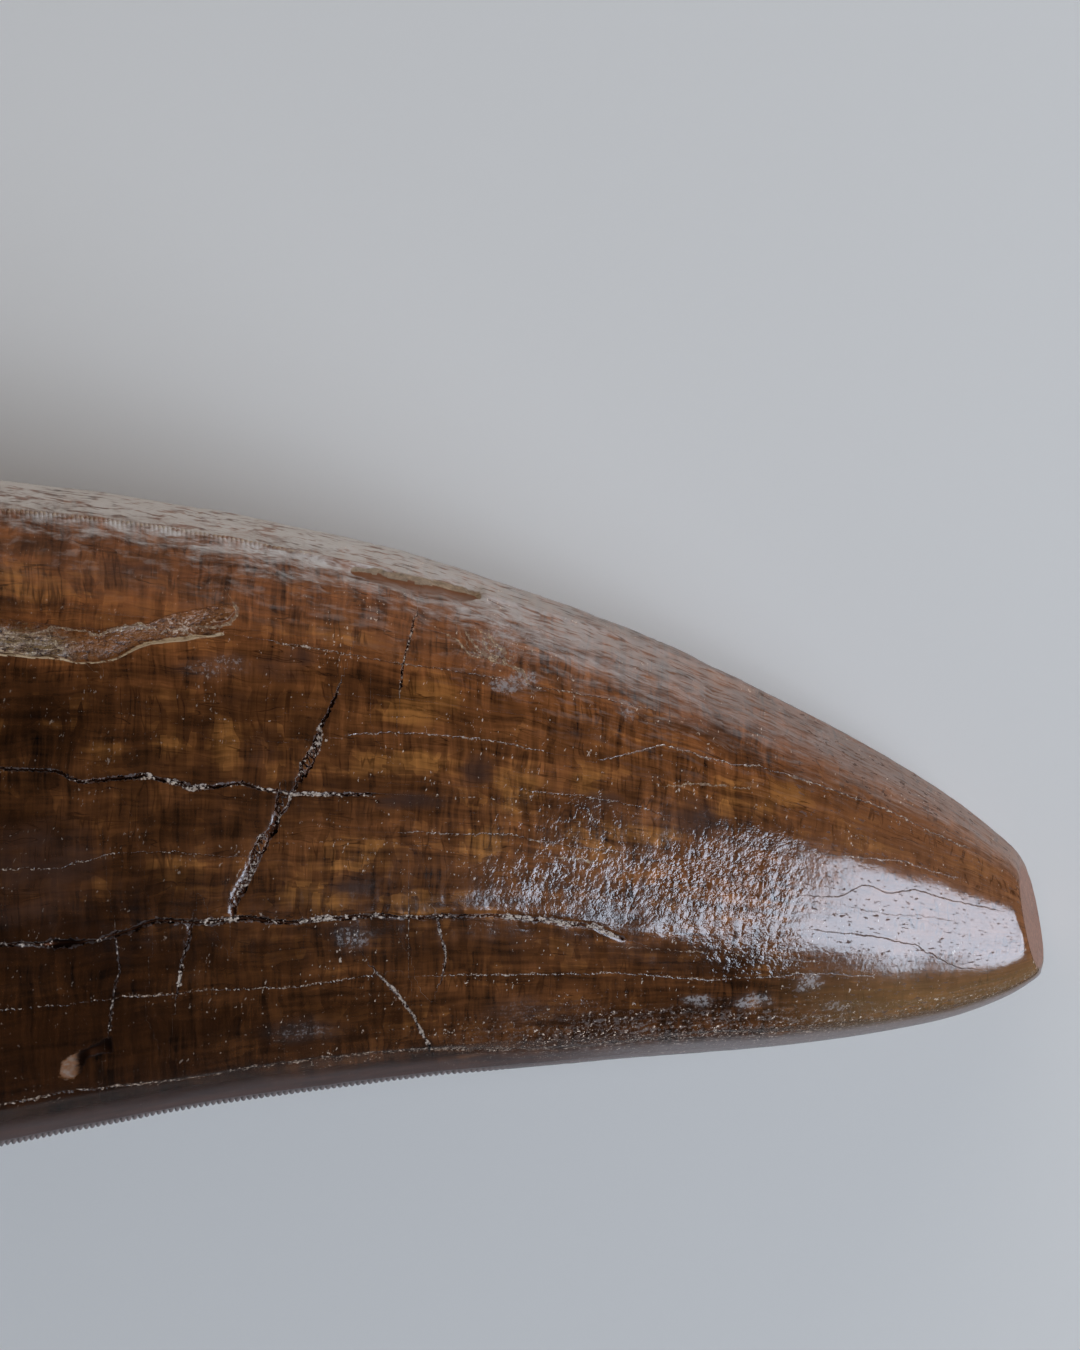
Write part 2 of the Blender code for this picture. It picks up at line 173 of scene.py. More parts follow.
# Lines on the picture plane: along each one x, y, its half width in hundredths of a millimetre, and how pale
# its filling is, in tenths. The pale ones are strands of the flaked patch, its curled end and scratches.
LINE_TABLES = {
    "deep": (
        ((-84, 11.6, 5, 0), (-77.3, 11.4, 8, 0), (-73.1, 11.3, 8, 0), (-69.1, 11.1, 8, 0),
         (-68.4, 10.7, 7, 3), (-67.5, 10.4, 9, 4), (-66.9, 10.4, 11, 1), (-65, 10.6, 12, 0),
         (-63.4, 10.8, 13, 2), (-62.8, 10.8, 13, 8), (-61.8, 10.5, 10, 3), (-60.9, 10.3, 15, 9),
         (-59.8, 10, 20, 9), (-58.2, 10, 13, 4), (-56.1, 10.3, 8, 1), (-55, 9.9, 7, 5), (-53.8, 9.7, 6, 8),
         (-52.2, 9.5, 8, 9), (-50.6, 9.5, 9, 9), (-48.7, 9.5, 8, 8), (-47, 9.5, 5, 5)),
        ((-44.5, 0.9, 10, 7), (-47.3, 1, 12, 7), (-50.6, 0.8, 14, 8), (-52.8, 0.5, 13, 5),
         (-55.6, 0.8, 17, 3), (-56.8, 0.7, 20, 6), (-58.9, 0.5, 22, 9), (-60.5, 0.6, 12, 3),
         (-62, 0.7, 13, 0), (-63.6, 0.1, 17, 0), (-65.3, -0.4, 13, 2), (-66.3, -0.7, 10, 4),
         (-67.3, -0.8, 14, 0), (-69.3, -1, 30, 0), (-69.9, -1, 16, 2), (-70.8, -1, 10, 3.5),
         (-73.1, -1, 9, 3), (-78.7, -1.5, 12, 2), (-83, -2, 6, 0)),
        ((-44.5, 0.9, 10, 7), (-41, 1, 9, 4), (-38.6, 1, 10, 6), (-36, 0.8, 13, 9), (-33.5, 0.5, 13, 9),
         (-31.6, 0.3, 14, 10), (-30.3, -0.3, 15, 10), (-29.4, -0.6, 6, 4)),
    ),
    "cross": (
        ((-49.3, 17.3, 4, 8), (-49.8, 15.9, 10, 0), (-50.1, 15.2, 13, 0), (-50.3, 14.8, 10, 1),
         (-50.8, 13.9, 9, 6), (-51.1, 12.9, 10, 5), (-51.7, 12.1, 8, 7), (-52.1, 11.5, 9, 5),
         (-52.1, 10.9, 7, 5), (-52.3, 10.5, 12, 1), (-52.4, 10, 8, 4), (-52.8, 9.4, 8, 9), (-52.9, 8.8, 8, 8),
         (-53.6, 7.9, 7, 5), (-53.7, 7.1, 12, 0), (-54.2, 6.5, 10, 2), (-54.5, 5.8, 8, 7),
         (-55.2, 4.5, 10, 7), (-55.7, 3.4, 12, 8), (-56, 2.7, 10, 5), (-56.4, 2.2, 12, 1),
         (-56.7, 1.1, 13, 0)),
        ((-50.7, 14.3, 6, 9), (-50.6, 13.2, 8, 9), (-51.2, 11.6, 6, 4), (-51.6, 11.1, 10, 0),
         (-52.1, 10.4, 15, 0)),
        ((-53.6, 9.6, 7, 2), (-53.8, 8.4, 7, 4), (-53.9, 7.4, 12, 0), (-54.3, 6.9, 10, 1), (-54.9, 6.5, 9, 9),
         (-55.1, 6.1, 9, 9), (-55.4, 5.4, 12, 9), (-55.7, 4.3, 15, 8), (-56, 3.5, 14, 7), (-56.6, 2.5, 10, 4),
         (-56.9, 1.9, 8, 6), (-56.9, 1.1, 8, 3)),
        ((-47, -2.7, 7, 2), (-46.7, -3.1, 6, 14), (-45.4, -4.3, 6.5, 15), (-44.2, -6, 7, 15),
         (-43.2, -7.9, 7, 13), (-43, -8.3, 8, 0)),
        ((-44, 22.1, 4, 9), (-44.4, 20.3, 4.5, 6), (-44.9, 18.6, 5, 4), (-45.1, 16.8, 4, 8)),
        ((-65, -0.6, 2, 5), (-64.7, -2.8, 3, 3), (-65.2, -4.9, 4, 5), (-65.5, -6.9, 5, 6)),
        ((-59.7, 0.3, 7, 1), (-59.9, -0.9, 8, 3), (-60.3, -2.2, 6, 6), (-60.5, -3.3, 8, 9),
         (-60.7, -4.6, 4, 6)),
        ((-42.5, 0.7, 5, 10), (-42.2, -0.6, 6, 10), (-41.8, -1.8, 4, 9), (-42.3, -3.6, 2, 5)),
    ),
    "fine": (
        ((-53.8, 20.2, 10, 10), (-52.1, 19.9, 11, 10), (-49.6, 19.5, 6, 6), (-46.5, 18.9, 5, 7),
         (-44, 18.5, 7, 8), (-42.3, 18.3, 6, 6), (-40.2, 17.9, 5, 1), (-36.7, 17.3, 5, 7),
         (-33.9, 16.7, 6, 7), (-31.1, 16.3, 5, 6), (-27.6, 15.4, 4, 4)),
        ((-31, 11.9, 3, 5), (-27.7, 12.7, 5, 9), (-26.6, 12.9, 6, 9), (-23.6, 12, 5, 8), (-21.8, 11.6, 6, 9),
         (-19.9, 11.4, 7, 9), (-17.8, 10.8, 6, 9), (-14.3, 9.6, 7, 10), (-10.8, 8.3, 6, 9), (-8, 6.9, 5, 8),
         (-5.2, 5.7, 4, 7)),
        ((-48.6, 13.6, 5, 4), (-46.1, 13.8, 6, 8), (-42.7, 13.7, 7, 8), (-39.3, 13.3, 6, 9),
         (-35, 12.5, 4, 6)),
        ((-73.1, 4.2, 4, 7), (-68.9, 4.3, 5, 8), (-65.4, 5.3, 5, 5), (-61.9, 5.5, 5, 2), (-57, 5.1, 4, 1)),
        ((-73.1, -5.6, 4, 6), (-68.9, -5.3, 5, 6), (-65.4, -4.8, 6, 5), (-61.2, -4.5, 10, 9),
         (-59.1, -4.2, 6, 6), (-53, -4, 7, 8), (-47.2, -3.2, 5, 8)),
        ((-35.6, 9.7, 5, 8), (-33, 9.4, 5, 5), (-30, 9, 5, 6), (-27, 8.2, 4, 5)),
        ((-44.4, 6.9, 4, 8), (-41, 6.7, 5, 9), (-37.5, 6.7, 5, 9), (-33.5, 5.9, 5, 7), (-28, 5.2, 5, 6)),
        ((-42.5, -3.2, 3, 6), (-35.8, -3.1, 5, 9), (-30, -3, 5, 7), (-23, -3.5, 5, 8), (-16, -3, 4, 8),
         (-12, -3.2, 4, 6)),
        ((-16.6, 2.4, 4, 0), (-14.4, 2.3, 5, 0), (-12.6, 3.2, 5, 0), (-10.8, 2.6, 5, 0), (-9, 2.8, 5, 0),
         (-6.6, 2.1, 4, 0), (-5.2, 1.8, 4, 0), (-3.4, 1.5, 4, 0)),
        ((-16, 0, 4, 0), (-12.2, -0.4, 5, 0), (-9, -1.1, 5, 0), (-7.6, -1.9, 6, 0), (-6.2, -2.6, 6, 0),
         (-4.8, -2.8, 4, 2)),
    ),
    "faint": (
        ((-19, 5.6, 4, 5), (-12.5, 5, 6, 8), (-9.7, 4.8, 5, 9), (-6.2, 3.6, 5, 8)),
        ((-51.6, 15.6, 5, 1), (-46, 15, 5, 1), (-42, 14.8, 4, 1)),
        ((-43.5, 9.3, 5, 1), (-37, 9.2, 6, 0), (-35.8, 9.6, 4, 0)),
        ((-73.1, 15.8, 4, 1), (-66, 15.2, 5, 1), (-58, 14.7, 5, 1), (-51, 14.6, 3, 1)),
        ((-54, 6, 4, 2), (-47, 6.4, 5, 2), (-41, 5.4, 5, 1), (-37, 5, 3, 1)),
        ((-41, 4.4, 4, 3), (-36.5, 4, 5, 7), (-33.5, 3.9, 3, 5)),
        ((-13.5, 1.6, 3, 0), (-11, 1.1, 4, 0), (-8, 1, 3, 0), (-6.4, 0.6, 3, 0)),
        ((-29.4, -1.2, 6, 10), (-26, -1.4, 5, 7), (-21.5, -1.8, 5, 8), (-16, -2.2, 4, 6)),
    ),
    "pale": (
        ((-59.8, 21.45, 5, 15), (-58.2, 21.2, 9, 20), (-57.2, 21.4, 10, 20), (-56.6, 22, 12, 20),
         (-56.5, 22.5, 9, 20), (-56.8, 22.9, 4, 15)),
        ((-84, 21.4, 7, 15), (-73.1, 21.2, 8, 16), (-71.9, 20.7, 12, 16), (-71.1, 20.7, 6, 12),
         (-69.1, 21.2, 11, 17), (-67.1, 20.9, 6, 12), (-66.5, 20.7, 7, 16), (-64.6, 21.1, 12, 18),
         (-63.4, 21.4, 13, 18), (-62.4, 21.3, 7, 12)),
        ((-80, 19.9, 6, 12), (-72, 20.1, 7, 14), (-69.3, 20.2, 8, 16), (-68.2, 19.4, 9, 18)),
        ((-61.6, 21, 4, 12), (-60.4, 21.2, 6, 15), (-59.9, 20.9, 5, 12)),
        ((-40.4, 20.9, 5, 14), (-39.7, 19.7, 9, 18), (-38.8, 18.8, 8, 19), (-37.8, 18.6, 9, 18),
         (-37.7, 19.4, 7, 17), (-38.4, 20.3, 7, 16), (-39, 20.6, 4, 12)),
        ((-39.5, 21, 4, 12), (-38.4, 19.9, 6, 16), (-37.8, 19.2, 5, 14)),
        ((-41.9, 20.8, 4, 11), (-41, 20.2, 7, 15), (-40.2, 19.2, 6, 14), (-39.5, 19, 4, 12)),
        ((-37.5, 18.5, 5, 14), (-36.6, 18.1, 8, 16), (-36.1, 17.2, 6, 15)),
        ((-39.3, 20.3, 3, 12), (-38.8, 19.4, 5, 15), (-38.1, 18.9, 4, 13)),
        ((-26.2, 10.1, 3, 13), (-24.9, 10.2, 6, 16), (-22.2, 10.1, 5, 15), (-20.6, 9.9, 3, 12)),
        ((-33.7, 5, 8, 20), (-31.5, 4.8, 6, 18)),
    ),
    "crease": (
        ((-95, -16.8, 8, 5), (-73.1, -12.3, 10, 7), (-68.9, -11.4, 10, 6), (-64.7, -10.9, 10, 8),
         (-60.5, -10.5, 8, 6), (-55.6, -9.7, 10, 5), (-51.7, -9.2, 11, 8), (-46.5, -8.6, 8, 5),
         (-43.7, -8.4, 13, 9), (-33.9, -8.3, 10, 5), (-24.1, -7.2, 9, 4), (-14.3, -7, 10, 8)),
    ),
}
LINE_GROUPS = {
    name: [[(x, y, width / 100, pale / 10) for x, y, width, pale in line] for line in lines]
    for name, lines in LINE_TABLES.items()
}
LINE_WOBBLE = 0.1
LINE_WOBBLE_SIZE = 1.3
LEAST_GROOVE = 0.05
# How much of the tooth at its broken end carries no markings, and a distance beyond all of them
UNMARKED_LENGTH = 3.0
FAR_AWAY = 60.0

# Places where enamel has come away: depth, the outline's x and y, and how many of its first corners belong to
# its steep edge
FLAKED_PATCH = (0.42, ((-86, 19.8), (-80, 19.2), (-73.1, 19.3), (-68.5, 18.9), (-67.5, 18.7), (-65.2, 18.8),
                       (-64.5, 19.2), (-63.6, 19.7), (-62.6, 20.1), (-60.8, 20.3), (-59.1, 20.5),
                       (-57.5, 20.7), (-58.8, 21.2), (-58, 21.5), (-57.1, 21.8), (-56.5, 22.4),
                       (-56.4, 22.9), (-58.6, 22.7), (-60.8, 22.3), (-62.6, 21.6), (-66.1, 21.1),
                       (-68.9, 21.3), (-73.1, 21.9), (-80, 22.4), (-85, 21.6)), 12)
RIDGE_CHIP = (0.42, ((-48.6, 25.5), (-46.6, 25.4), (-45, 25), (-43, 24.6), (-41, 24.2), (-39.5, 23.9),
                     (-39.3, 23.3), (-40.6, 23), (-43.4, 23.3), (-46.2, 24.1), (-48.4, 25)), 7)
SPALL = (0.3, ((-65.3, -7.4), (-65.1, -8.5), (-66.9, -8.9), (-67.4, -9.9), (-68, -10.4), (-69, -10.3),
               (-68.8, -9.2), (-67.6, -8.6)), 4)

# Broad patches of tone: x, y, reach along x and along y, strength
AMBER_SPOTS = (
    (-71, 24.4, 3.6, 1.6, 0.8), (-50, 20.9, 2.8, 1.2, 0.7), (-57.3, 13, 1.2, 2, 0.6),
    (-65.7, 12.7, 1.4, 0.9, 0.7), (-61.9, 12.7, 1.3, 0.7, 0.5), (-43.6, 16.1, 3, 1.5, 0.9),
    (-45, 11.5, 3.8, 1, 0.7), (-36.8, 10, 2, 1.8, 0.8), (-31.8, 10.3, 1.6, 1.2, 0.7), (-39.5, 6, 2, 1.2, 0.9),
    (-31, 6.4, 3, 1.4, 0.6), (-48.6, 5.2, 2.6, 1.6, 0.5), (-51.5, 2.3, 2.8, 1.4, 0.7),
    (-60.5, 4, 2.6, 1.4, 0.35), (-43, 2, 3.2, 1, 0.5), (-18.5, 9.3, 2.1, 1.3, 0.8),
    (-21.4, 9.6, 1.5, 1.2, 0.5), (-26.5, 6.7, 1.3, 0.6, 1), (-68.6, -8.6, 2.2, 1.3, 0.5),
    (-9, -4.7, 4, 0.8, 0.7), (-4.5, 5, 2.4, 3, 0.5), (-13, 6.4, 2.6, 1.6, 0.4), (-53.5, 10.9, 1.2, 0.8, 0.3),
    (-88, 8, 5, 2.6, 0.5), (-93, 20, 6, 2, 0.4),
)
DARK_SPOTS = (
    (-53, 18.7, 2.6, 1.5, 0.6), (-64.7, 24.9, 4, 1.5, 0.55), (-54.4, 12.8, 1.7, 1.8, 0.5),
    (-39.6, 11.2, 1.5, 1.3, 0.8), (-44.2, 9, 3.4, 0.7, 0.8), (-31.2, 9, 2, 0.8, 0.7),
    (-24.2, 7.6, 2.6, 1.7, 0.8), (-48.2, 3.1, 1.5, 0.8, 0.8), (-70.5, 5, 6, 3.4, 0.6),
    (-70.5, 1.6, 5, 2.4, 0.5), (-59, -2.5, 3, 1.5, 0.3), (-56.5, 16, 2, 1, 0.35), (-33.5, 14, 1.2, 1.4, 0.4),
    (-79, -5, 7, 4, 0.4), (-90, 14, 4, 2, 0.4),
)
HAZE_SPOTS = (
    (-48.6, -0.6, 1.4, 1, 0.45), (-24.1, -4.9, 1.1, 0.4, 0.9), (-20.2, -4.9, 1.1, 0.5, 0.9),
    (-16.7, -3.8, 0.9, 0.6, 0.8), (-29, 15.4, 0.8, 0.8, 0.6), (-37, 17.4, 1.2, 0.6, 0.8),
    (-38.2, 19.8, 1.8, 1.5, 0.5), (-15, 13.6, 1.6, 0.8, 0.4), (-52, -7.2, 2.4, 0.8, 0.35),
    (-58, 18.4, 2.4, 0.8, 0.4), (-14.5, -5.4, 1.4, 0.5, 0.5), (-36, -5.5, 3, 0.8, 0.25),
)
WRINKLED_SPOTS = (
    (-31, 3.6, 8.5, 3, 0.34), (-21.5, 3.2, 6, 3.4, 0.85), (-18, -1.6, 6, 1.8, 0.7),
    (-38, 19.6, 3.4, 2.2, 0.9), (-33, -5.5, 6, 2, 0.5), (-34, 8, 6, 3, 0.2),
)

# The material's colours, as linear red, green and blue
NEAR_BLACK = (0.02, 0.006, 0.0014)
DARK_BROWN = (0.05, 0.0165, 0.0046)
MID_BROWN = (0.145, 0.049, 0.0145)
AMBER = (0.2, 0.077, 0.018)
RUSSET = (0.15, 0.045, 0.012)
PLUM = (0.038, 0.0185, 0.0125)
TIP_BROWN = (0.165, 0.066, 0.028)
# Grey for mineral haze in spots, and painted sheen on the lower edge and keel
HAZE_AND_SHEEN = (0.27, 0.23, 0.21)
# Pale film colour: partly mineral film, partly painted sheen along the front edge
FLANK_FILM_AND_SHEEN = (0.45, 0.4, 0.36)
TAN = (0.43, 0.31, 0.19)
OLIVE = (0.15, 0.09, 0.036)
OCHRE = (0.16, 0.095, 0.036)
ORANGE = (0.17, 0.06, 0.014)
INFILL = (0.6, 0.46, 0.35)
CRACK_DARK = (0.026, 0.009, 0.004)
HAIR_TAN = (0.2, 0.125, 0.08)
MAUVE = (0.055, 0.02, 0.011)
FACET = (0.2, 0.095, 0.06)
LEDGE = (0.38, 0.25, 0.15)
DENTINE = (0.2, 0.13, 0.075)
SEDIMENT = (0.24, 0.2, 0.155)


def smooth_values(rows, x, column):
    """One column of rows at every x, on a smooth curve through all the rows."""
    table = np.array(rows)
    xs, ys = table[:, 0], table[:, column]
    after, before = np.minimum(np.arange(len(xs)) + 1, len(xs) - 1), np.maximum(np.arange(len(xs)) - 1, 0)
    slopes = (ys[after] - ys[before]) / (xs[after] - xs[before])
    k = np.clip(np.searchsorted(xs, x) - 1, 0, len(xs) - 2)
    width, rise = xs[k + 1] - xs[k], ys[k + 1] - ys[k]
    t = np.clip((x - xs[k]) / width, 0.0, 1.0)
    turn_in, turn_out = slopes[k] * width - rise, rise - slopes[k + 1] * width
    return ys[k] + rise * t + t * (1 - t) * (turn_in * (1 - t) + turn_out * t)


def section_at(x):
    """The cross-sections at x: the middle's y, half depth, heights above and below the edges, edge height."""
    front, back, thickness = (smooth_values(STATIONS, x, column) for column in (1, 2, 3))
    below = EDGE_HEIGHT_SHARE * thickness
    lift = TIP_LIFT * np.maximum(1 + x / TIP_LIFT_LENGTH, 0.0) ** 2
    return (front + back) / 2, (front - back) / 2, thickness - below, below, below + lift - RESTING_FLAT


def height_share(across, fullness):
    """How high the skin stands at a share across the half depth, from 0 at an edge to 1 in the middle."""
    keel_top = (1 - KEEL_START**fullness) ** (1 / fullness)
    keel = keel_top * (1 + across) / (1 - KEEL_START)
    round_part = np.maximum(1 - np.abs(across) ** fullness, 0.0) ** (1 / fullness)
    return np.where(across < -KEEL_START, keel, round_part)


def skin_points(x, angle, raised=0.0):
    """Points of the skin, moved outwards by raised."""
    x, angle, raised = np.broadcast_arrays(x, angle, raised)
    middle, half, above, below, edge_height = section_at(x)
    across = np.cos(np.radians(angle))
    top = above * height_share(across, TOP_FULLNESS)
    underside = -below * height_share(across, UNDERSIDE_FULLNESS)
    height = np.where(np.sin(np.radians(angle)) >= 0, top, underside)
    outwards = np.stack((np.zeros_like(x), half * across, height), axis=-1)
    length = np.linalg.norm(outwards, axis=-1, keepdims=True)
    points = np.stack((x, middle, edge_height), axis=-1) + outwards * (1 + raised[..., None] / length)
    points[..., 2] = np.maximum(points[..., 2], 0.0)
    return points


def on_picture(points):
    """Where the camera sees points, as x and y on the picture plane."""
    depth = CAMERA_DISTANCE + PICTURE_HEIGHT - points[..., 2]
    offset = points[..., :2] - PICTURE_CENTRE
    seen = PICTURE_CENTRE + offset * (CAMERA_DISTANCE / depth)[..., None]
    return seen[..., 0], seen[..., 1]


def ring_places():
    """The x of every ring, as far apart as RING_SPACINGS says."""
    xs = np.linspace(-TOOTH_LENGTH, LAST_RING, 6000)
    spacing = np.interp(xs, *zip(*RING_SPACINGS))
    steps = np.concatenate(([0.0], np.cumsum(np.diff(xs) / spacing[1:])))
    return np.interp(np.linspace(0.0, steps[-1], round(steps[-1]) + 1), steps, xs)


def spread_columns(places, start, stop, count, crowded):
    """The angles of count columns at every ring, evenly spread over the skin between two columns of angles,
    and closer together along the long cracks if crowded."""
    shares = np.linspace(0.0, 1.0, 500)
    angles = start[:, None] + (stop - start)[:, None] * shares
    points = skin_points(places[:, None], angles)
    steps = np.linalg.norm(np.diff(points, axis=1), axis=2)
    if crowded:
        x, y = on_picture((points[:, 1:] + points[:, :-1]) / 2)
        for path in CROWDED_PATHS:
            away = (y - np.interp(x, *zip(*path))) / CROWD_REACH
            steps = steps * (1 + CROWD_GAIN * np.exp(-(away**2)))
    run = np.concatenate((np.zeros((len(places), 1)), np.cumsum(steps, axis=1)), axis=1)
    wanted = np.linspace(0.0, 1.0, count)
    return np.array([np.interp(wanted * run[i, -1], run[i], angles[i]) for i in range(len(places))])


def serrated_places(places, serration):
    """The x of a ridge's vertices: the rings', with fine steps along the serrated stretch."""
    start, end = serration["start"], serration["end"]
    count = round((end - start) / serration["pitch"]) * SERRATION_STEPS
    fine = np.linspace(start, end, count + 1)
    return np.concatenate((places[places < start - 0.1], fine, places[places > end + 0.1]))


def notches(x, serration):
    """How deep the skin is cut between serrations at x, from 0 on a crest to 1 in a notch."""
    turn = (x - serration["start"]) / serration["pitch"]
    fade_in = np.clip((x - serration["start"]) / 3.0, 0.0, 1.0)
    fade_out = np.clip((serration["end"] - x) / 5.0, 0.0, 1.0)
    return (1 - np.abs(np.sin(np.pi * turn)) ** 0.6) * fade_in * fade_out


def ridge_columns(places, serration, crest_angle, rows):
    """The columns of one serrated ridge. Each row has its angle from the crest, how far it is raised as a
    share of the half depth, and how much of a notch's depth cuts into it."""
    x = serrated_places(places, serration)
    half = section_at(x)[1]
    made = []
    for offset, share, cut in rows:
        raised = share * half - cut * serration["depth"] * notches(x, serration)
        made.append((x, crest_angle(x) + offset, raised))
    return made


def front_ridge_angle(x):
    """The angle of the front ridge's crest at x."""
    return smooth_values(FRONT_RIDGE_ANGLES, x, 1)


def skin_columns():
    """Every column once round the section, as its x, angles and how far it is raised."""
    places = ring_places()
    level = np.zeros_like(places)
    front = front_ridge_angle(places)
    top = spread_columns(places, front + FRONT_FOOT_ANGLE, level + 180.0 - KEEL_FOOT_ANGLE, TOP_COLUMNS, True)
    underside = spread_columns(
        places, level + 180.0 + KEEL_FOOT_ANGLE, front + 360.0 - FRONT_FOOT_ANGLE, UNDERSIDE_COLUMNS, False
    )
    foot, mid = FRONT_FOOT_ANGLE, FRONT_FOOT_ANGLE * 0.45
    front_rows = ((-foot, 0.0, 0.0), (-mid, 0.55 * FRONT_RIDGE_SHARE, 0.1), (0.0, FRONT_RIDGE_SHARE, 1.0),
                  (mid, 0.55 * FRONT_RIDGE_SHARE, 0.1), (foot, 0.0, 0.0))
    foot, mid, sunk = KEEL_FOOT_ANGLE, KEEL_FOOT_ANGLE * 0.55, -KEEL_RIDGE_SHARE
    keel_rows = ((-foot, sunk, 0.0), (-mid, 0.7 * sunk, 0.5), (0.0, 0.0, 1.0), (mid, 0.7 * sunk, 0.5),
                 (foot, sunk, 0.0))
    columns = ridge_columns(places, FRONT_SERRATION, front_ridge_angle, front_rows)
    columns += [(places, top[:, j], level) for j in range(1, TOP_COLUMNS - 1)]
    columns += ridge_columns(places, BACK_SERRATION, lambda x: 180.0 + 0 * x, keel_rows)
    columns += [(places, underside[:, j], level) for j in range(1, UNDERSIDE_COLUMNS - 1)]
    return columns


def strip_faces(one, other, one_x, other_x):
    """Triangles between two columns of vertices that have their own x."""
    order = np.argsort(np.concatenate((one_x[1:], other_x[1:])), kind="stable")
    from_one = order < len(one) - 1
    i = np.concatenate(([0], np.cumsum(from_one)))[:-1]
    j = np.concatenate(([0], np.cumsum(~from_one)))[:-1]
    far = np.where(from_one, one[np.minimum(i + 1, len(one) - 1)], other[np.minimum(j + 1, len(other) - 1)])
    return np.stack((one[i], other[j], far), axis=1).tolist()


def grid_faces(one, other):
    """Quads between two columns of vertices that share their x."""
    return np.stack((one[:-1], other[:-1], other[1:], one[1:]), axis=1).tolist()


def rim_scoops(angle):
    """How far the break's rim is set back at an angle."""
    dice = random.Random(4)
    depths = [dice.uniform(*RIM_SCOOP_DEPTHS) for _ in range(RIM_SCOOPS)]
    share = np.interp((angle - RIM_ANGLES[0]) % 360.0 + RIM_ANGLES[0], RIM_ANGLES, RIM_SHARES)
    return np.interp(share * RIM_SCOOPS, range(RIM_SCOOPS + 1), [*depths, depths[0]])


def fractal(places, along, across, octaves, seed):
    """Fractal noise from about -1 to 1 at each place, whose largest features are so long along the tooth and
    across it."""
    spots = places / np.array((along, across, across)) + seed
    return np.array([noise.fractal(Vector(spot), 0.9, 2.1, octaves) for spot in spots])


def smooth_step(value, low, high):
    """0 below low, 1 above high, and smooth in between."""
    t = np.clip((value - low) / (high - low), 0.0, 1.0)
    return t * t * (3 - 2 * t)


def line_fields(x, y, lines):
    """The signed distance from each place to the nearest line, and its half width and paleness there."""
    nearest = np.full(len(x), 90.0)
    width, pale = np.zeros(len(x)), np.zeros(len(x))
    for line in lines:
        for (x0, y0, width0, pale0), (x1, y1, width1, pale1) in zip(line, line[1:]):
            run_x, run_y = x1 - x0, y1 - y0
            share = ((x - x0) * run_x + (y - y0) * run_y) / (run_x**2 + run_y**2)
            share = np.clip(share, 0.0, 1.0)
            away = np.hypot(x - x0 - share * run_x, y - y0 - share * run_y)
            side = np.where((x - x0) * run_y > (y - y0) * run_x, 1.0, -1.0)
            closer = away < np.abs(nearest)
            nearest = np.where(closer, side * away, nearest)
            width = np.where(closer, width0 + share * (width1 - width0), width)
            pale = np.where(closer, pale0 + share * (pale1 - pale0), pale)
    return nearest, width, pale


def depth_inside(x, y, outline):
    """How far each place is inside an outline, negative outside it."""
    closed = [(*corner, 0.0, 0.0) for corner in (*outline, outline[0])]
    away = np.abs(line_fields(x, y, (closed,))[0])
    inside = np.zeros(len(x), bool)
    for (x0, y0, *_), (x1, y1, *_) in zip(closed, closed[1:]):
        if y0 == y1:
            continue
        crosses = (y0 > y) != (y1 > y)
        inside ^= crosses & (x < x0 + (y - y0) * (x1 - x0) / (y1 - y0))
    return np.where(inside, away, -away)


def steep_edge(x, y, flake):
    """How far each place is from a flake's steep edge."""
    _, outline, corners = flake
    return np.abs(line_fields(x, y, ([(*corner, 0.0, 0.0) for corner in outline[:corners]],))[0])


def spots(x, y, rows):
    """The strongest of some soft-edged patches at each place."""
    strength = np.zeros(len(x))
    for middle_x, middle_y, reach_x, reach_y, peak in rows:
        away = ((x - middle_x) / reach_x) ** 2 + ((y - middle_y) / reach_y) ** 2
        strength = np.maximum(strength, peak * np.exp(-(away**1.5)))
    return strength


def close_base(points, angles, rim):
    """Adds the broken base's face to the points, and returns its faces. The rim is the loop round it."""
    middle, _, _, _, edge_height = (float(v) for v in section_at(np.array(-TOOTH_LENGTH)))
    centre = np.array((-TOOTH_LENGTH, middle, edge_height))
    loops, faces = [rim], []
    start = sum(len(block) for block in points)
    rim_points, rim_angles = np.concatenate(points)[rim], np.concatenate(angles)[rim]
    for share in BREAK_RINGS:
        ring = centre + (rim_points - centre) * share
        plain = -TOOTH_LENGTH + np.interp(share, *zip(*BREAK_DEPTHS))
        rough = np.abs(fractal(ring, 5.0, 5.0, 5, 31.0)) * 0.55
        rough += np.abs(fractal(ring, 1.2, 1.2, 3, 7.0)) * 0.16
        near_rim = smooth_step(share, 0.86, 1.0)
        ring[:, 0] = (plain + rough * (1 - near_rim)) * (1 - near_rim) + near_rim * rim_points[:, 0]
        ring[:, 0] = np.maximum(ring[:, 0], -TOOTH_LENGTH)
        points.append(ring)
        angles.append(rim_angles)
        loops.append(np.arange(start, start + len(rim)))
        start += len(rim)
    points.append(np.array([[-TOOTH_LENGTH + BREAK_DEPTHS[0][1], middle, edge_height]]))
    angles.append(np.array([90.0]))
    for outer, inner in zip(loops, loops[1:]):
        faces += np.stack((outer, np.roll(outer, -1), np.roll(inner, -1), inner), axis=1).tolist()
    last = loops[-1]
    faces += np.stack((last, np.roll(last, -1), np.full(len(last), start)), axis=1).tolist()
    return faces


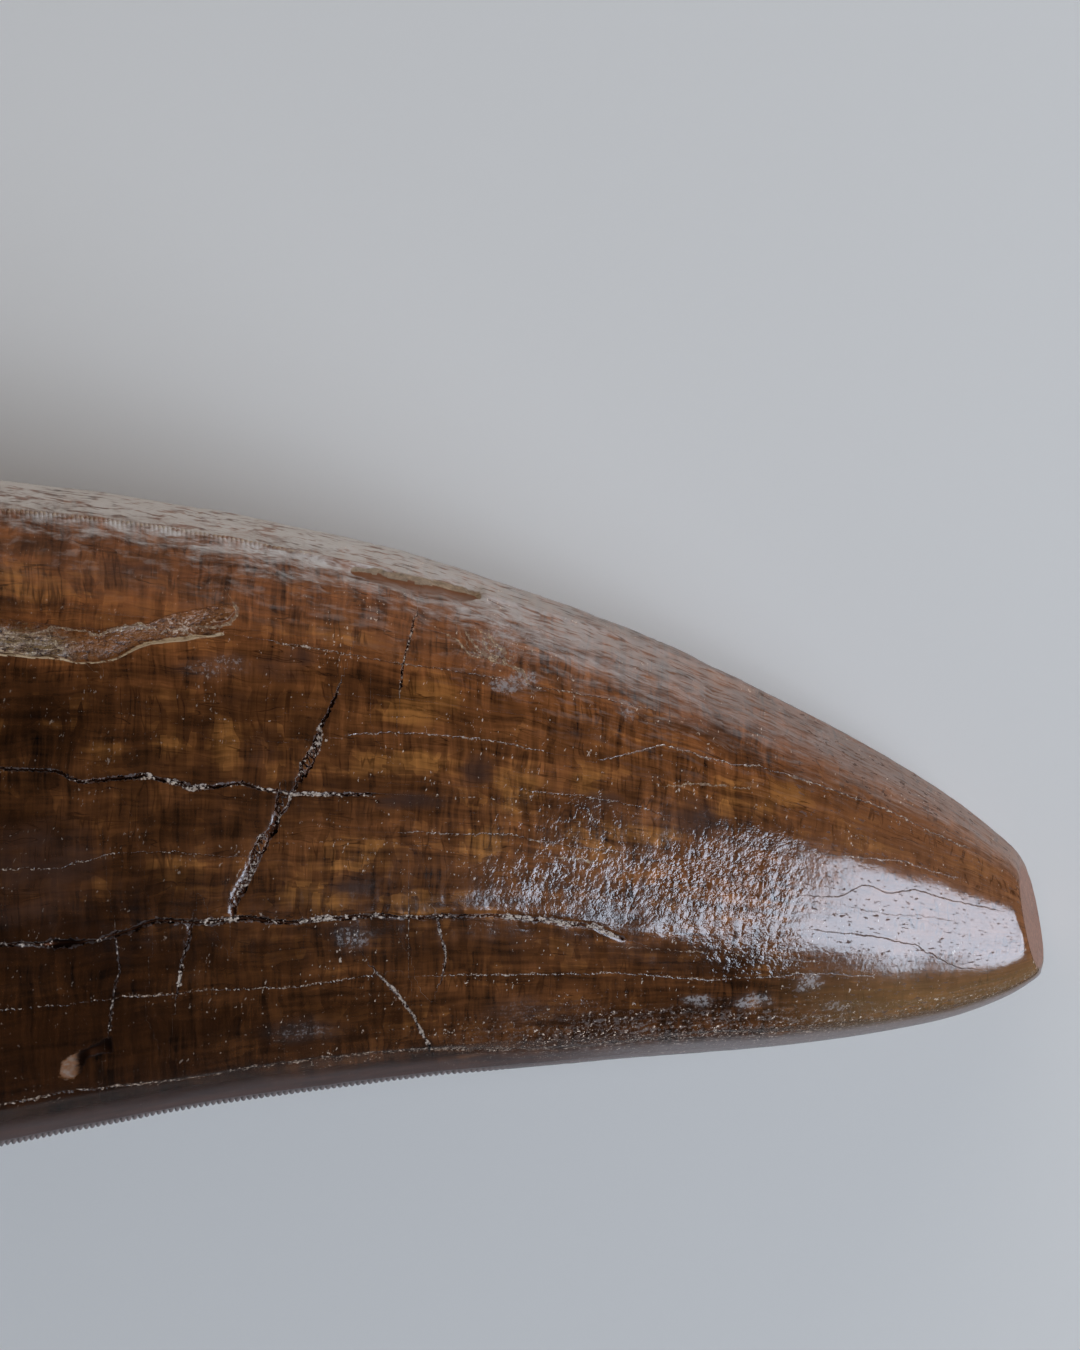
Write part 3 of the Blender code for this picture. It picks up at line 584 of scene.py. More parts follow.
def skin_mesh():
    """The plain skin's points, each point's angle, how worn it is and whether it is in the break, and the
    faces, with base and tip closed."""
    points, angles, faces, columns = [], [], [], []
    start = 0
    for x, angle, raised in skin_columns():
        near_margin = np.maximum(1 - np.abs(x + CROWN_LENGTH) / (TOOTH_LENGTH - CROWN_LENGTH), 0.0)
        placed = x + ENAMEL_MARGIN_WAVE * near_margin * np.cos(np.radians(2 * angle))
        column = skin_points(placed, angle, raised)
        near_rim = np.maximum(1 - (x + TOOTH_LENGTH) / RIM_SCOOP_REACH, 0.0)
        column[:, 0] += rim_scoops(angle) * near_rim
        points.append(column)
        angles.append(angle % 360.0)
        columns.append((np.arange(start, start + len(x)), x))
        start += len(x)
    for k, (one, one_x) in enumerate(columns):
        other, other_x = columns[(k + 1) % len(columns)]
        same = len(one) == len(other) and np.allclose(one_x, other_x)
        faces += grid_faces(one, other) if same else strip_faces(one, other, one_x, other_x)
    tip = (TIP_BEFORE_WEAR, TIP_Y, float(section_at(np.array(TIP_BEFORE_WEAR))[-1]))
    points.append(np.array([tip]))
    angles.append(np.array([90.0]))
    last = np.array([column[-1] for column, _ in columns])
    faces += np.stack((last, np.roll(last, -1), np.full(len(last), start)), axis=1).tolist()
    rim = np.array([column[0] for column, _ in columns])
    faces += close_base(points, angles, rim)
    points = np.concatenate(points)
    in_break = (np.arange(len(points)) > start).astype(float)
    past = (points - WEAR_POINT) @ WEAR_NORMAL
    rounding = np.maximum(WEAR_RIM - np.abs(past), 0.0) ** 2 / (4 * WEAR_RIM)
    points -= WEAR_NORMAL * (np.maximum(past, 0.0) + rounding)[:, None]
    worn = smooth_step(past, 0.35, 0.75)
    return points, np.concatenate(angles), worn, in_break, faces


def groove(field, gain):
    """How deep a group of lines cuts into the skin. Narrow lines only show in the material."""
    away, width, pale = field
    reach = np.maximum(width, 0.14) * 1.15
    profile = np.clip(1 - (away / reach) ** 2, 0.0, 1.0)
    return gain * width * profile * (1 - 0.55 * pale) * (width > LEAST_GROOVE)


def make_tooth():
    """The tooth's object, with its relief and the fields that the material reads."""
    points, angle, worn, in_break, faces = skin_mesh()
    mesh = bpy.data.meshes.new("fossil_tooth")
    mesh.from_pydata(points.tolist(), [], faces)
    bm = bmesh.new()
    bm.from_mesh(mesh)
    bmesh.ops.recalc_face_normals(bm, faces=bm.faces[:])
    bm.to_mesh(mesh)
    bm.free()
    normals = np.zeros(len(points) * 3, np.float32)
    mesh.vertices.foreach_get("normal", normals)
    normals = normals.reshape(-1, 3).astype(float)

    across, upness = np.cos(np.radians(angle)), np.sin(np.radians(angle))
    seen_x, seen_y = on_picture(points)
    wobble_x, wobble_y = (fractal(points, LINE_WOBBLE_SIZE, LINE_WOBBLE_SIZE, 2, seed) * LINE_WOBBLE
                          for seed in (3.0, 9.0))
    # The underside and the break are moved away from every marking
    unmarked = (upness < 0) | (points[:, 0] < -TOOTH_LENGTH + UNMARKED_LENGTH)
    hidden = np.where(unmarked, FAR_AWAY, 0.0)
    line_x, line_y = seen_x + wobble_x, seen_y + wobble_y + hidden
    warp = fractal(points, 4.0, 2.4, 4, 17.0)
    tone_x, tone_y = seen_x + 1.1 * warp, seen_y + 0.5 * warp + hidden

    fields = {name: line_fields(line_x, line_y, lines) for name, lines in LINE_GROUPS.items()}
    patch, chip, spall = (depth_inside(line_x, line_y, flake[1])
                          for flake in (FLAKED_PATCH, RIDGE_CHIP, SPALL))
    patch_edge, chip_edge = (steep_edge(line_x, line_y, flake) for flake in (FLAKED_PATCH, RIDGE_CHIP))

    x = points[:, 0]
    in_crown = smooth_step(x, -CROWN_LENGTH - ENAMEL_STEP_LENGTH, -CROWN_LENGTH)
    flank = smooth_step(across, 0.35, 0.9)
    polish = smooth_step(x, -19.5, -16.0)

    relief = -ENAMEL_THICKNESS * (1 - in_crown) * (1 - in_break)
    relief = relief + 0.1 * fractal(points, 16.0, 8.0, 3, 1.0) * (1 - 0.7 * polish)
    streaks = fractal(points, 5.0, 0.9, 4, 5.0)
    relief += 0.05 * streaks * (0.3 + flank) * (1 - 0.6 * polish)
    relief += 0.016 * fractal(points, 0.9, 1.6, 3, 13.0) * (1 - 0.85 * polish)
    root_rough = fractal(points, 3.0, 1.0, 4, 23.0)
    relief += 0.16 * root_rough * (1 - in_crown) * (1 - in_break)
    for name, gain in (("deep", 1.1), ("cross", 0.9), ("crease", 0.6)):
        relief -= groove(fields[name], gain)
    away, width, _ = fields["deep"]
    lip = np.exp(-np.abs(away) / 0.5) * (away > 0) * smooth_step(width, 0.06, 0.15)
    relief += 0.05 * lip
    floor_rough = fractal(points, 1.6, 0.6, 4, 41.0)
    patch_depth = FLAKED_PATCH[0] * np.clip(1.1 - patch_edge / 2.0, 0.05, 1.0)
    rubbly = 0.06 + 0.14 * smooth_step(-seen_x, 64.0, 68.0)
    relief -= smooth_step(patch, 0.0, 0.28) * (patch_depth + rubbly * floor_rough)
    chip_depth = RIDGE_CHIP[0] * np.clip(1.05 - chip_edge / 1.5, 0.1, 1.0)
    relief -= smooth_step(chip, 0.0, 0.2) * (chip_depth + 0.07 * floor_rough)
    spall_depth = SPALL[0] * smooth_step(seen_x, -69.5, -66.5)
    relief -= smooth_step(spall, 0.0, 0.3) * (spall_depth + 0.12 * floor_rough)
    pits = fractal(points, 1.1, 0.5, 2, 51.0)
    relief -= 0.1 * smooth_step(pits, 0.5, 0.8) * (0.15 + 0.85 * flank) * in_crown * (1 - polish)
    relief *= 1 - worn * 0.6

    points = points + normals * relief[:, None]
    points[:, 2] = np.maximum(points[:, 2], 0.0)
    points[:, 0] = np.maximum(points[:, 0], -TOOTH_LENGTH)

    crest = np.abs((angle - front_ridge_angle(x) + 180) % 360 - 180)
    crest = np.where((angle < 90) | (angle > 300), crest, 90.0)
    front_crest = np.clip(1 - crest / FRONT_FOOT_ANGLE, 0.0, 1.0) * smooth_step(x, -94.0, -90.0)
    front_crest *= (1 - smooth_step(x, -53.0, -46.0)) * (1 - 0.5 * notches(x, FRONT_SERRATION))
    keel = np.clip(1 - np.abs(angle - 180.0) / KEEL_FOOT_ANGLE, 0.0, 1.0)
    # tone: lighter towards the tip and the front edge, darker towards the base and on the back half of the
    # top; partly the enamel's own tone and partly painted light and shade
    tone = np.interp(seen_x, (-90.0, -73.0, -55.0, -35.0, -12.0, 0.0), (0.14, 0.18, 0.42, 0.62, 0.66, 0.7))
    tone = tone + 0.4 * smooth_step(seen_y, 13.0, 24.0) - 0.27 * smooth_step(-across, 0.15, 0.6)
    # The band along the front edge that takes the pale colour: partly mineral film, partly painted sheen
    film_and_sheen_start = np.interp(seen_x, (-75.0, -45.0, -28.0, 0.0), (0.84, 0.76, 0.58, 0.58))
    film = np.clip((across - film_and_sheen_start) / (1 - film_and_sheen_start), -1.0, 1.0)
    amber, dark, haze, wrinkled = (spots(tone_x, tone_y, rows)
                                   for rows in (AMBER_SPOTS, DARK_SPOTS, HAZE_SPOTS, WRINKLED_SPOTS))
    fields.update(flakes=(patch, chip, spall), tones=(amber, dark, tone), films=(haze, wrinkled, polish),
                  edges=(front_crest, keel, worn), ends=(1 - in_crown, in_break, film),
                  steep=(patch_edge, chip_edge, np.zeros_like(x)), around=(across, upness, x))
    for name, parts in fields.items():
        layer = mesh.attributes.new(name, "FLOAT_VECTOR", "POINT")
        layer.data.foreach_set("vector", np.stack(parts, axis=1).astype(np.float32).ravel())

    shift = np.array((cad_low.x + TOOTH_LENGTH * MM, cad_low.y - BACK_LIMIT * MM, 0.0))
    mesh.vertices.foreach_set("co", (points * MM + shift).astype(np.float32).ravel())
    mesh.update()
    mesh.shade_smooth()
    tooth = bpy.data.objects.new("fossil_tooth", mesh)
    bpy.context.scene.collection.objects.link(tooth)
    return tooth, shift


class Value:
    """A node's output that takes part in sums and products: each one adds a math node."""

    def __init__(self, shader, socket):
        self.shader = shader
        self.socket = socket

    def __add__(self, other):
        return self.shader.math("ADD", self, other)

    def __sub__(self, other):
        return self.shader.math("SUBTRACT", self, other)

    def __rsub__(self, other):
        return self.shader.math("SUBTRACT", other, self)

    def __mul__(self, other):
        return self.shader.math("MULTIPLY", self, other)

    def __abs__(self):
        return self.shader.math("ABSOLUTE", self)


class Shader:
    """Short ways to add nodes to a material. A Value or a plain value can go into any input."""

    def __init__(self, name):
        self.material = bpy.data.materials.new(name)
        self.material.use_nodes = True
        self.nodes = self.material.node_tree.nodes
        self.nodes.clear()

    def node(self, kind, inputs, output=0, **settings):
        node = self.nodes.new(kind)
        for key, value in settings.items():
            setattr(node, key, value)
        for key, value in inputs.items():
            socket = node.inputs[key]
            if isinstance(value, Value):
                self.material.node_tree.links.new(value.socket, socket)
            elif isinstance(value, tuple) and socket.type == "RGBA":
                socket.default_value = (*value, 1)
            else:
                socket.default_value = value
        return Value(self, node.outputs[output]) if node.outputs else None

    def math(self, operation, one, other=0):
        return self.node("ShaderNodeMath", {0: one, 1: other}, operation=operation)

    def largest(self, value, *others):
        for other in others:
            value = self.math("MAXIMUM", value, other)
        return value

    def field(self, name):
        """The three parts of a vector that the mesh carries."""
        vector = self.node("ShaderNodeAttribute", {}, 1, attribute_name=name)
        return [self.node("ShaderNodeSeparateXYZ", {0: vector}, k) for k in range(3)]

    def step(self, value, low, high):
        """0 below low, 1 above high, and smooth in between; low may be the higher one."""
        inputs = {"Value": value, "From Min": low, "From Max": high}
        return self.node("ShaderNodeMapRange", inputs, interpolation_type="SMOOTHSTEP")

    def scaled(self, place, along, across):
        share = (1 / along, 1 / across, 1 / across)
        return self.node("ShaderNodeVectorMath", {0: place, 1: share}, operation="MULTIPLY")

    def turned(self, place, angle):
        return self.node("ShaderNodeVectorRotate", {0: place, "Angle": angle}, rotation_type="Z_AXIS")

    def noise(self, place, along, across, detail, roughness=0.55, distortion=0):
        """Noise from 0 to 1, whose largest features are so long along the tooth and across it."""
        inputs = {"Vector": self.scaled(place, along, across), "Scale": 1, "Detail": detail,
                  "Roughness": roughness, "Distortion": distortion}
        return self.node("ShaderNodeTexNoise", inputs)

    def cells(self, place, along, across, randomness=1, distance="EUCLIDEAN", output=0):
        inputs = {"Vector": self.scaled(place, along, across), "Scale": 1, "Randomness": randomness}
        return self.node("ShaderNodeTexVoronoi", inputs, output, distance=distance)

    def cell_tone(self, place, along, across, randomness=1, distance="EUCLIDEAN"):
        """A random number from 0 to 1 for each cell: its colour's first part."""
        colour = self.cells(place, along, across, randomness, distance, 1)
        return self.node("ShaderNodeSeparateColor", {0: colour})

    def brighten(self, colour, factor):
        return self.node("ShaderNodeVectorMath", {0: colour, "Scale": factor}, operation="SCALE")

    def between(self, share, one, other):
        return self.node("ShaderNodeMix", {0: share, 2: one, 3: other}, data_type="FLOAT")

    def blend(self, colour, *layers):
        """A colour with others laid over it in turn, each one with its share."""
        for share, other in layers:
            colour = self.node("ShaderNodeMix", {0: share, 6: colour, 7: other}, 2, data_type="RGBA")
        return colour


def line_mask(sh, field, jag, jitter, reach, soft=0.03):
    """1 on a group's lines and 0 off them. jag and jitter roughen the lines' course and width."""
    away, width, _ = field
    gap = abs(away + jag) - width * (jitter * reach)
    return sh.step(gap, soft, -soft * 0.4)


def crown_colour(sh, place, flow, marks):
    """The enamel's browns: amber blocks between dark lines that run along the tooth and across it."""
    amber_spot, dark_spot, tone = marks["tones"]
    across, _, along = marks["around"]
    # These swing about zero
    broad = sh.noise(flow, 12, 4, 3, 0.6) - 0.5
    middle = sh.noise(flow, 3, 1.2, 4, 0.6) - 0.5
    bands = sh.noise(flow, 0.5, 6, 2, 0.5) - 0.5
    streaks = sh.noise(flow, 9, 0.7, 3, 0.6) - 0.5
    fine_bands = sh.noise(flow, 0.2, 3, 1) - 0.5
    fine_streaks = sh.noise(flow, 5, 0.28, 1) - 0.5
    block = sh.cell_tone(flow, 2.6, 1.5, 0.8, "CHEBYCHEV") - 0.5
    narrow = sh.cell_tone(flow, 0.62, 1.7, 0.7, "CHEBYCHEV") - 0.5
    patchy = sh.step(sh.noise(place, 7, 3.5, 1), 0.4, 0.6)

    # tone carries painted light and shade as well as the enamel's own tone
    level = tone + broad * 0.9 + middle * 0.5
    amber = sh.step(amber_spot + block * 0.4 + narrow * 0.35 + middle * 0.5 + streaks, 0.05, 1)
    amber = amber * sh.step(tone, 0, 0.5)
    russet = sh.step(across, 0.3, 0.8) * sh.step(middle, -0.2, 0.2)
    colour = sh.blend(NEAR_BLACK, (sh.step(level, 0, 0.45), DARK_BROWN),
                      (sh.step(level, 0.25, 0.9), MID_BROWN), (amber * 0.8, AMBER), (russet * 0.7, RUSSET),
                      (sh.step(along, -22, -4) * 0.6, TIP_BROWN))

    contrast = bands * sh.between(patchy, 0.9, 2) + fine_bands * sh.between(patchy, 0.4, 1.2)
    contrast += fine_streaks * 0.8 + streaks * 1.6 + block * 0.3 + narrow * 0.4
    calm = sh.between(marks["films"][2], 1, 0.45)
    dark = sh.step(dark_spot + middle * 0.8, 0.2, 0.9)
    return sh.blend(sh.brighten(colour, contrast * calm + 1.05), (dark * 0.8, PLUM)), middle


def thread(sh, place, along, across, width, gap_along, gap_across):
    """Thin wandering threads where a noise passes its middle, broken where another noise is low."""
    off = abs(sh.noise(place, along, across, 2) - 0.5)
    return sh.step(off, width, 0) * sh.step(sh.noise(place, gap_along, gap_across, 2), 0.45, 0.6)


def flake_colour(sh, flow, marks, colour, middle, rubble):
    """Bare dentine, rubble and pale rims where enamel has come away, and how much of each there is."""
    patch, chip, spall = marks["flakes"]
    patch_edge, chip_edge, _ = marks["steep"]
    along = marks["around"][2]
    layers = sh.noise(flow, 2.4, 0.32, 4, 0.7)
    smooth_floor = sh.blend(DARK_BROWN, (sh.step(rubble, 0.3, 0.55), ORANGE))
    rough_floor = sh.blend(OLIVE, (sh.step(layers, 0.42, 0.52), HAIR_TAN),
                           (sh.step(layers + rubble * 0.6, 0.83, 0.89), TAN),
                           (sh.step(abs(layers - 0.46), 0.03, 0.008), NEAR_BLACK),
                           (sh.step(rubble, 0.42, 0.34), NEAR_BLACK))
    left = sh.step(along + middle * 3, -66.5, -69)
    end_rubble = sh.step(along, -61.6, -60.4) * sh.step(rubble, 0.56, 0.62)
    floor = sh.blend(smooth_floor, (left * 0.9, rough_floor), (end_rubble * 0.5, INFILL))
    ragged = patch_edge + (layers + rubble) * 1.6
    in_patch = sh.step(patch, -0.02, 0.06) * sh.step(ragged, 4, 2.9)

    rim_width = sh.between(sh.step(along, -64, -62.4), 0.06, 0.32)
    rim_width = rim_width * sh.between(sh.step(along, -59.5, -57), 1, 0.3) * (layers + 0.5)
    rim = sh.step(patch_edge, rim_width + 0.07, rim_width) * sh.step(patch, -0.12, -0.04)
    rim = rim * sh.between(sh.step(along, -65, -63), sh.step(rubble, 0.35, 0.6), 0.6)
    rim = rim * sh.between(sh.step(rubble, 0.35, 0.5), 0.7, 1.6)

    in_chip = sh.step(chip, -0.02, 0.06)
    ledge_width = sh.cell_tone(flow, 1.1, 3) * 0.2 + 0.14
    chip_face = sh.step(chip_edge, ledge_width + 0.06, ledge_width)
    chip_colour = sh.blend(MID_BROWN, (chip_face, sh.brighten(LEDGE, rubble + 0.1)))

    cavity = sh.step(along + rubble * 0.8, -67, -66.4)
    in_spall = sh.step(spall + rubble * 0.3, 0.05, 0.25)
    facet = sh.blend(ORANGE, (sh.step(rubble, 0.4, 0.7), HAIR_TAN))
    colour = sh.blend(colour, (in_patch, floor), (rim, TAN),
                      (in_chip * sh.step(chip_edge, 1.4, 0.3), chip_colour),
                      (in_spall * 0.8, sh.blend(facet, (cavity, CRACK_DARK))))
    return colour, in_patch, in_chip, in_spall, in_spall * cavity


def line_colour(sh, place, marks, colour):
    """Broken hairlines with pale glints, and cracks with a dark floor and pale crumbs."""
    jag = (sh.noise(place, 0.4, 0.4, 2, 0.7) - 0.5) * 0.5
    jitter = sh.noise(place, 0.6, 0.6, 2, 0.7) * 1.8 - 0.1
    crumbs = sh.noise(place, 0.24, 0.24, 2, 0.7)
    clusters = crumbs + (sh.noise(place, 1.3, 0.9, 3, 0.6) - 0.5) * 0.7
    stone = sh.brighten(INFILL, crumbs * 1.6 - 0.1)
    masks = {}
    for name, strength, reach, tint in (("faint", 0.3, 0.75, stone), ("fine", 0.55, 0.75, stone),
                                        ("pale", 0.4, 1.3, TAN), ("crease", 0.5, 0.75, stone)):
        masks[name] = line_mask(sh, marks[name], jag * 0.6, 1, 0.45)
        glint = line_mask(sh, marks[name], jag, jitter, reach)
        lit = glint * sh.step(clusters + marks[name][2] * 0.2, 0.6, 0.76)
        crumb = sh.blend(HAIR_TAN, (sh.step(crumbs, 0.5, 0.66), tint))
        colour = sh.blend(colour, (masks[name] * strength, NEAR_BLACK), (lit * 0.75, crumb))
    for name, closed, reach, strength in (("cross", 0.6, 1.25, 0.6), ("deep", 0.7, 1.5, 0.75)):
        pale = marks[name][2]
        core = line_mask(sh, marks[name], jag, jitter, sh.between(pale, 1.15, closed))
        near = line_mask(sh, marks[name], jag * -1, jitter, reach, 0.05)
        lit = sh.step(clusters + (pale - 0.5) * 0.26, 0.56, 0.66)
        filled = near * lit
        colour = sh.blend(colour, (near * 0.35, NEAR_BLACK), (core, CRACK_DARK), (filled * strength, stone))
        masks[name] = core
        masks[name + " sides"] = near
        masks[name + " filled"] = filled
        masks[name + " open"] = core * (1 - lit)
    return colour, masks


def enamel_material(shift):
    """Polished fossil enamel: brown and amber blocks that carry some painted light and shade, cracks, films
    with painted sheen on the edges, painted glints, dull flaked places and root.
    """
    sh = Shader("fossil_enamel")
    coordinates = sh.node("ShaderNodeTexCoord", {}, 3)
    to_mm = {0: coordinates, 1: (1 / MM,) * 3, 2: tuple(-shift / MM)}
    place = sh.node("ShaderNodeVectorMath", to_mm, operation="MULTIPLY_ADD")
    names = ("tones", "films", "edges", "ends", "steep", "around", "flakes", *LINE_GROUPS)
    marks = {name: sh.field(name) for name in names}
    haze_spot, wrinkled, polish = marks["films"]
    front_crest, keel, worn = marks["edges"]
    root, broken, flank_film_and_sheen = marks["ends"]
    across, upness, along = marks["around"]
    drift = sh.noise(place, 4, 4, 2) - 0.5
    flow = sh.node("ShaderNodeCombineXYZ", {0: along + drift * 0.9, 1: across * 20 + drift, 2: upness * 8})

    colour, middle = crown_colour(sh, place, flow, marks)
    threads = sh.largest(thread(sh, flow, 1.1, 9, 0.03, 5, 2) * 0.6,
                         thread(sh, flow, 9, 0.9, 0.014, 4, 1.5) * 0.75)

    # A pale film of mineral in spots, and on the front flank a pale band that is partly mineral film and
    # partly painted sheen (a grazing reflection of bright surroundings painted into the colour), with dark
    # pits through it
    streaks = sh.noise(flow, 5, 0.55, 4, 0.65)
    grain = sh.noise(flow, 2, 0.6, 4, 0.7, 0.4)
    pits = sh.noise(flow, 1.7, 0.27, 2, 0.7)
    speckle = sh.noise(place, 0.45, 0.35, 2, 0.75)
    fine_speckle = sh.noise(place, 0.2, 0.28, 2, 0.7)
    speckles = speckle + fine_speckle
    film = sh.step(haze_spot * 0.3 + speckles, 1.08, 1.36) * sh.step(haze_spot, 0.05, 0.6)
    film = film * 0.55 + haze_spot * 0.12
    towards_tip = sh.step(along, -52, -14)
    edge_film_and_sheen = sh.step(flank_film_and_sheen + (grain - 0.5) * 1.6, 0, 0.85)
    edge_film_and_sheen = edge_film_and_sheen * sh.between(sh.step(pits, 0.66, 0.5), 0.25, 1) * sh.between(towards_tip, 0.97, 0.3)
    inner_film_and_sheen = sh.step(flank_film_and_sheen, -0.9, 0.1) * sh.step(grain, 0.5, 0.66)
    flank_film_and_sheen = sh.largest(edge_film_and_sheen, inner_film_and_sheen * sh.between(towards_tip, 0.17, 0.05))

    # The lower edge near the tip: grey streaks that are partly rubbed wear and partly painted sheen, painted
    # glints, and ochre further on
    lower = sh.step(across - (streaks - 0.5) * 0.5, -0.72, -0.9)
    rubbed_and_sheen = lower * sh.step(speckles, 0.95, 1.15) * sh.step(along, -44, -26)
    # Painted glints: bright specks in the colour that stand in for sparkles of light
    glints = lower * sh.step(fine_speckle, 0.63, 0.68) * sh.step(along, -44, -30)
    ochre = sh.step(across, -0.4, -0.8) * sh.step(along, -22, -10)

    # Small white specks and scratches, and small dark pits in the polished tip
    speck = sh.noise(sh.turned(place, 0.25), 0.2, 0.42, 2, 0.6)
    speck = sh.step(speck + sh.noise(place, 3, 2, 2) * 0.4, 0.9, 0.96)
    speck = speck * sh.between(sh.step(along, -62, -46), 0.2, 0.6)
    polish_pits = sh.step(sh.noise(flow, 0.5, 0.42, 2, 0.6), 0.62, 0.68) * polish

    # Keel strip, with grey painted sheen on the keel and towards the tip; the front ridge's crest, root and
    # broken base
    strip = sh.step(across, -0.9, -0.97) * sh.step(upness, -0.45, 0)
    strip_tone = sh.brighten(MAUVE, streaks * 1.6 + 0.1)
    strip_tone = sh.blend(strip_tone, (sh.step(along, -38, -22) * 0.6, HAZE_AND_SHEEN))
    crest = sh.step(front_crest, 0.55, 0.95) * sh.step(speckle, 0.45, 0.6)
    dentine = sh.blend(DARK_BROWN, (sh.step(sh.noise(place, 4, 1.2, 4, 0.65), 0.3, 0.7), DENTINE))
    break_face = sh.blend(OLIVE, (sh.step(sh.noise(place, 1, 1.6, 3, 0.7), 0.35, 0.65), SEDIMENT))

    colour = sh.blend(
        colour, (threads, NEAR_BLACK), (film, HAZE_AND_SHEEN), (flank_film_and_sheen, FLANK_FILM_AND_SHEEN), (rubbed_and_sheen * 0.4, HAZE_AND_SHEEN),
        (glints * 0.9, sh.brighten(INFILL, 1.6)), (ochre * sh.between(streaks, 0.1, 0.8), OCHRE),
        (speck, INFILL), (polish_pits * 0.8, DARK_BROWN), (strip * 0.8, strip_tone),
        (sh.step(keel, 0.3, 0.9) * 0.4, HAZE_AND_SHEEN), (crest * 0.6, TAN),
        (worn * 0.9, sh.brighten(FACET, speckle * 1.6 + 0.2)), (root, dentine), (broken, break_face)
    )
    rubble = sh.noise(place, 0.5, 0.3, 2, 0.7)
    colour, in_patch, in_chip, in_spall, cavity = flake_colour(sh, flow, marks, colour, middle, rubble)
    colour, masks = line_colour(sh, place, marks, colour)

    gloss = sh.between(sh.noise(place, 2, 1, 2, 0.6), 0.09, 0.17)
    for share, rough in (
        (polish, 0.13), (sh.step(across, 0.45, 0.85), 0.52), (sh.largest(film, flank_film_and_sheen), 0.75),
        (strip, 0.95), (root, 0.62), (broken, 0.8), (in_patch, 0.5), (in_chip, 0.6), (in_spall, 0.5),
        (worn, 0.8), (masks["deep sides"], 0.4), (masks["cross sides"], 0.4), (masks["deep filled"], 0.75),
        (masks["cross filled"], 0.75), (masks["fine"] * polish, 0.7), (masks["faint"] * polish, 0.6),
        (polish_pits, 0.85),
    ):
        gloss = sh.between(share, gloss, rough)
    # The open cracks reflect nothing: black, and metallic so that no clear gloss lies over it
    open_crack = sh.largest(masks["deep open"], masks["cross open"], cavity)

    # Fine relief: wrinkles with beads between them, rubbed and pitted places, grain, rubble and lines
    wrinkle_place = sh.turned(place, 0.35)
    wrinkle = sh.noise(wrinkle_place, 0.38, 0.46, 2)
    bead = sh.cells(wrinkle_place, 0.4, 0.62)
    bead_depth = wrinkled * sh.step(speckle, 0.4, 0.62) * sh.between(polish, -0.085, 0)
    edge_rubbed = sh.step(across, -0.72, -0.9) * sh.step(along, -44, -26)
    rough_places = sh.largest(sh.step(marks["flakes"][0], 0, 0.1), root, broken)
    height = wrinkle * (wrinkled * 0.017 + 0.008) * sh.between(polish, 1, 0.9)
    height += bead * bead * bead_depth
    height += speckle * edge_rubbed * 0.06
    height += pits * sh.step(across, 0.3, 0.9) * -0.05
    height += sh.noise(place, 0.16, 0.12, 2, 0.6) * 0.002
    height += rubble * rough_places * 0.14
    for name, depth in (("fine", -0.014), ("crease", -0.03), ("cross", -0.06), ("deep", -0.06)):
        height += masks[name] * depth
    normal = sh.node("ShaderNodeBump", {"Height": height, "Distance": MM, "Strength": 1})

    inputs = {"Base Color": colour, "Roughness": gloss, "Metallic": open_crack, "Normal": normal, "IOR": 1.55,
              "Sheen Weight": 0.08, "Sheen Roughness": 0.35, "Sheen Tint": (1, 0.95, 0.9)}
    sh.node("ShaderNodeOutputMaterial", {"Surface": sh.node("ShaderNodeBsdfPrincipled", inputs)})
    return sh.material


def floor_material():
    """Plain pale matt paper."""
    sh = Shader("pale_floor")
    tint = sh.noise(sh.node("ShaderNodeTexCoord", {}, 3), 0.4, 0.4, 2.0)
    inputs = {"Base Color": sh.blend((0.72, 0.67, 0.61), (tint, (0.75, 0.7, 0.64))), "Roughness": 0.9}
    sh.node("ShaderNodeOutputMaterial", {"Surface": sh.node("ShaderNodeBsdfPrincipled", inputs)})
    return sh.material


def make_floor():
    """A plain level floor that the tooth lies on."""
    mesh = bpy.data.meshes.new("floor")
    reach = 3.0
    corners = [(-reach, -reach, 0.0), (reach, -reach, 0.0), (reach, reach, 0.0), (-reach, reach, 0.0)]
    mesh.from_pydata(corners, [], [(0, 1, 2, 3)])
    mesh.materials.append(floor_material())
    floor = bpy.data.objects.new("floor", mesh)
    floor.visible_glossy = False
    bpy.context.scene.collection.objects.link(floor)


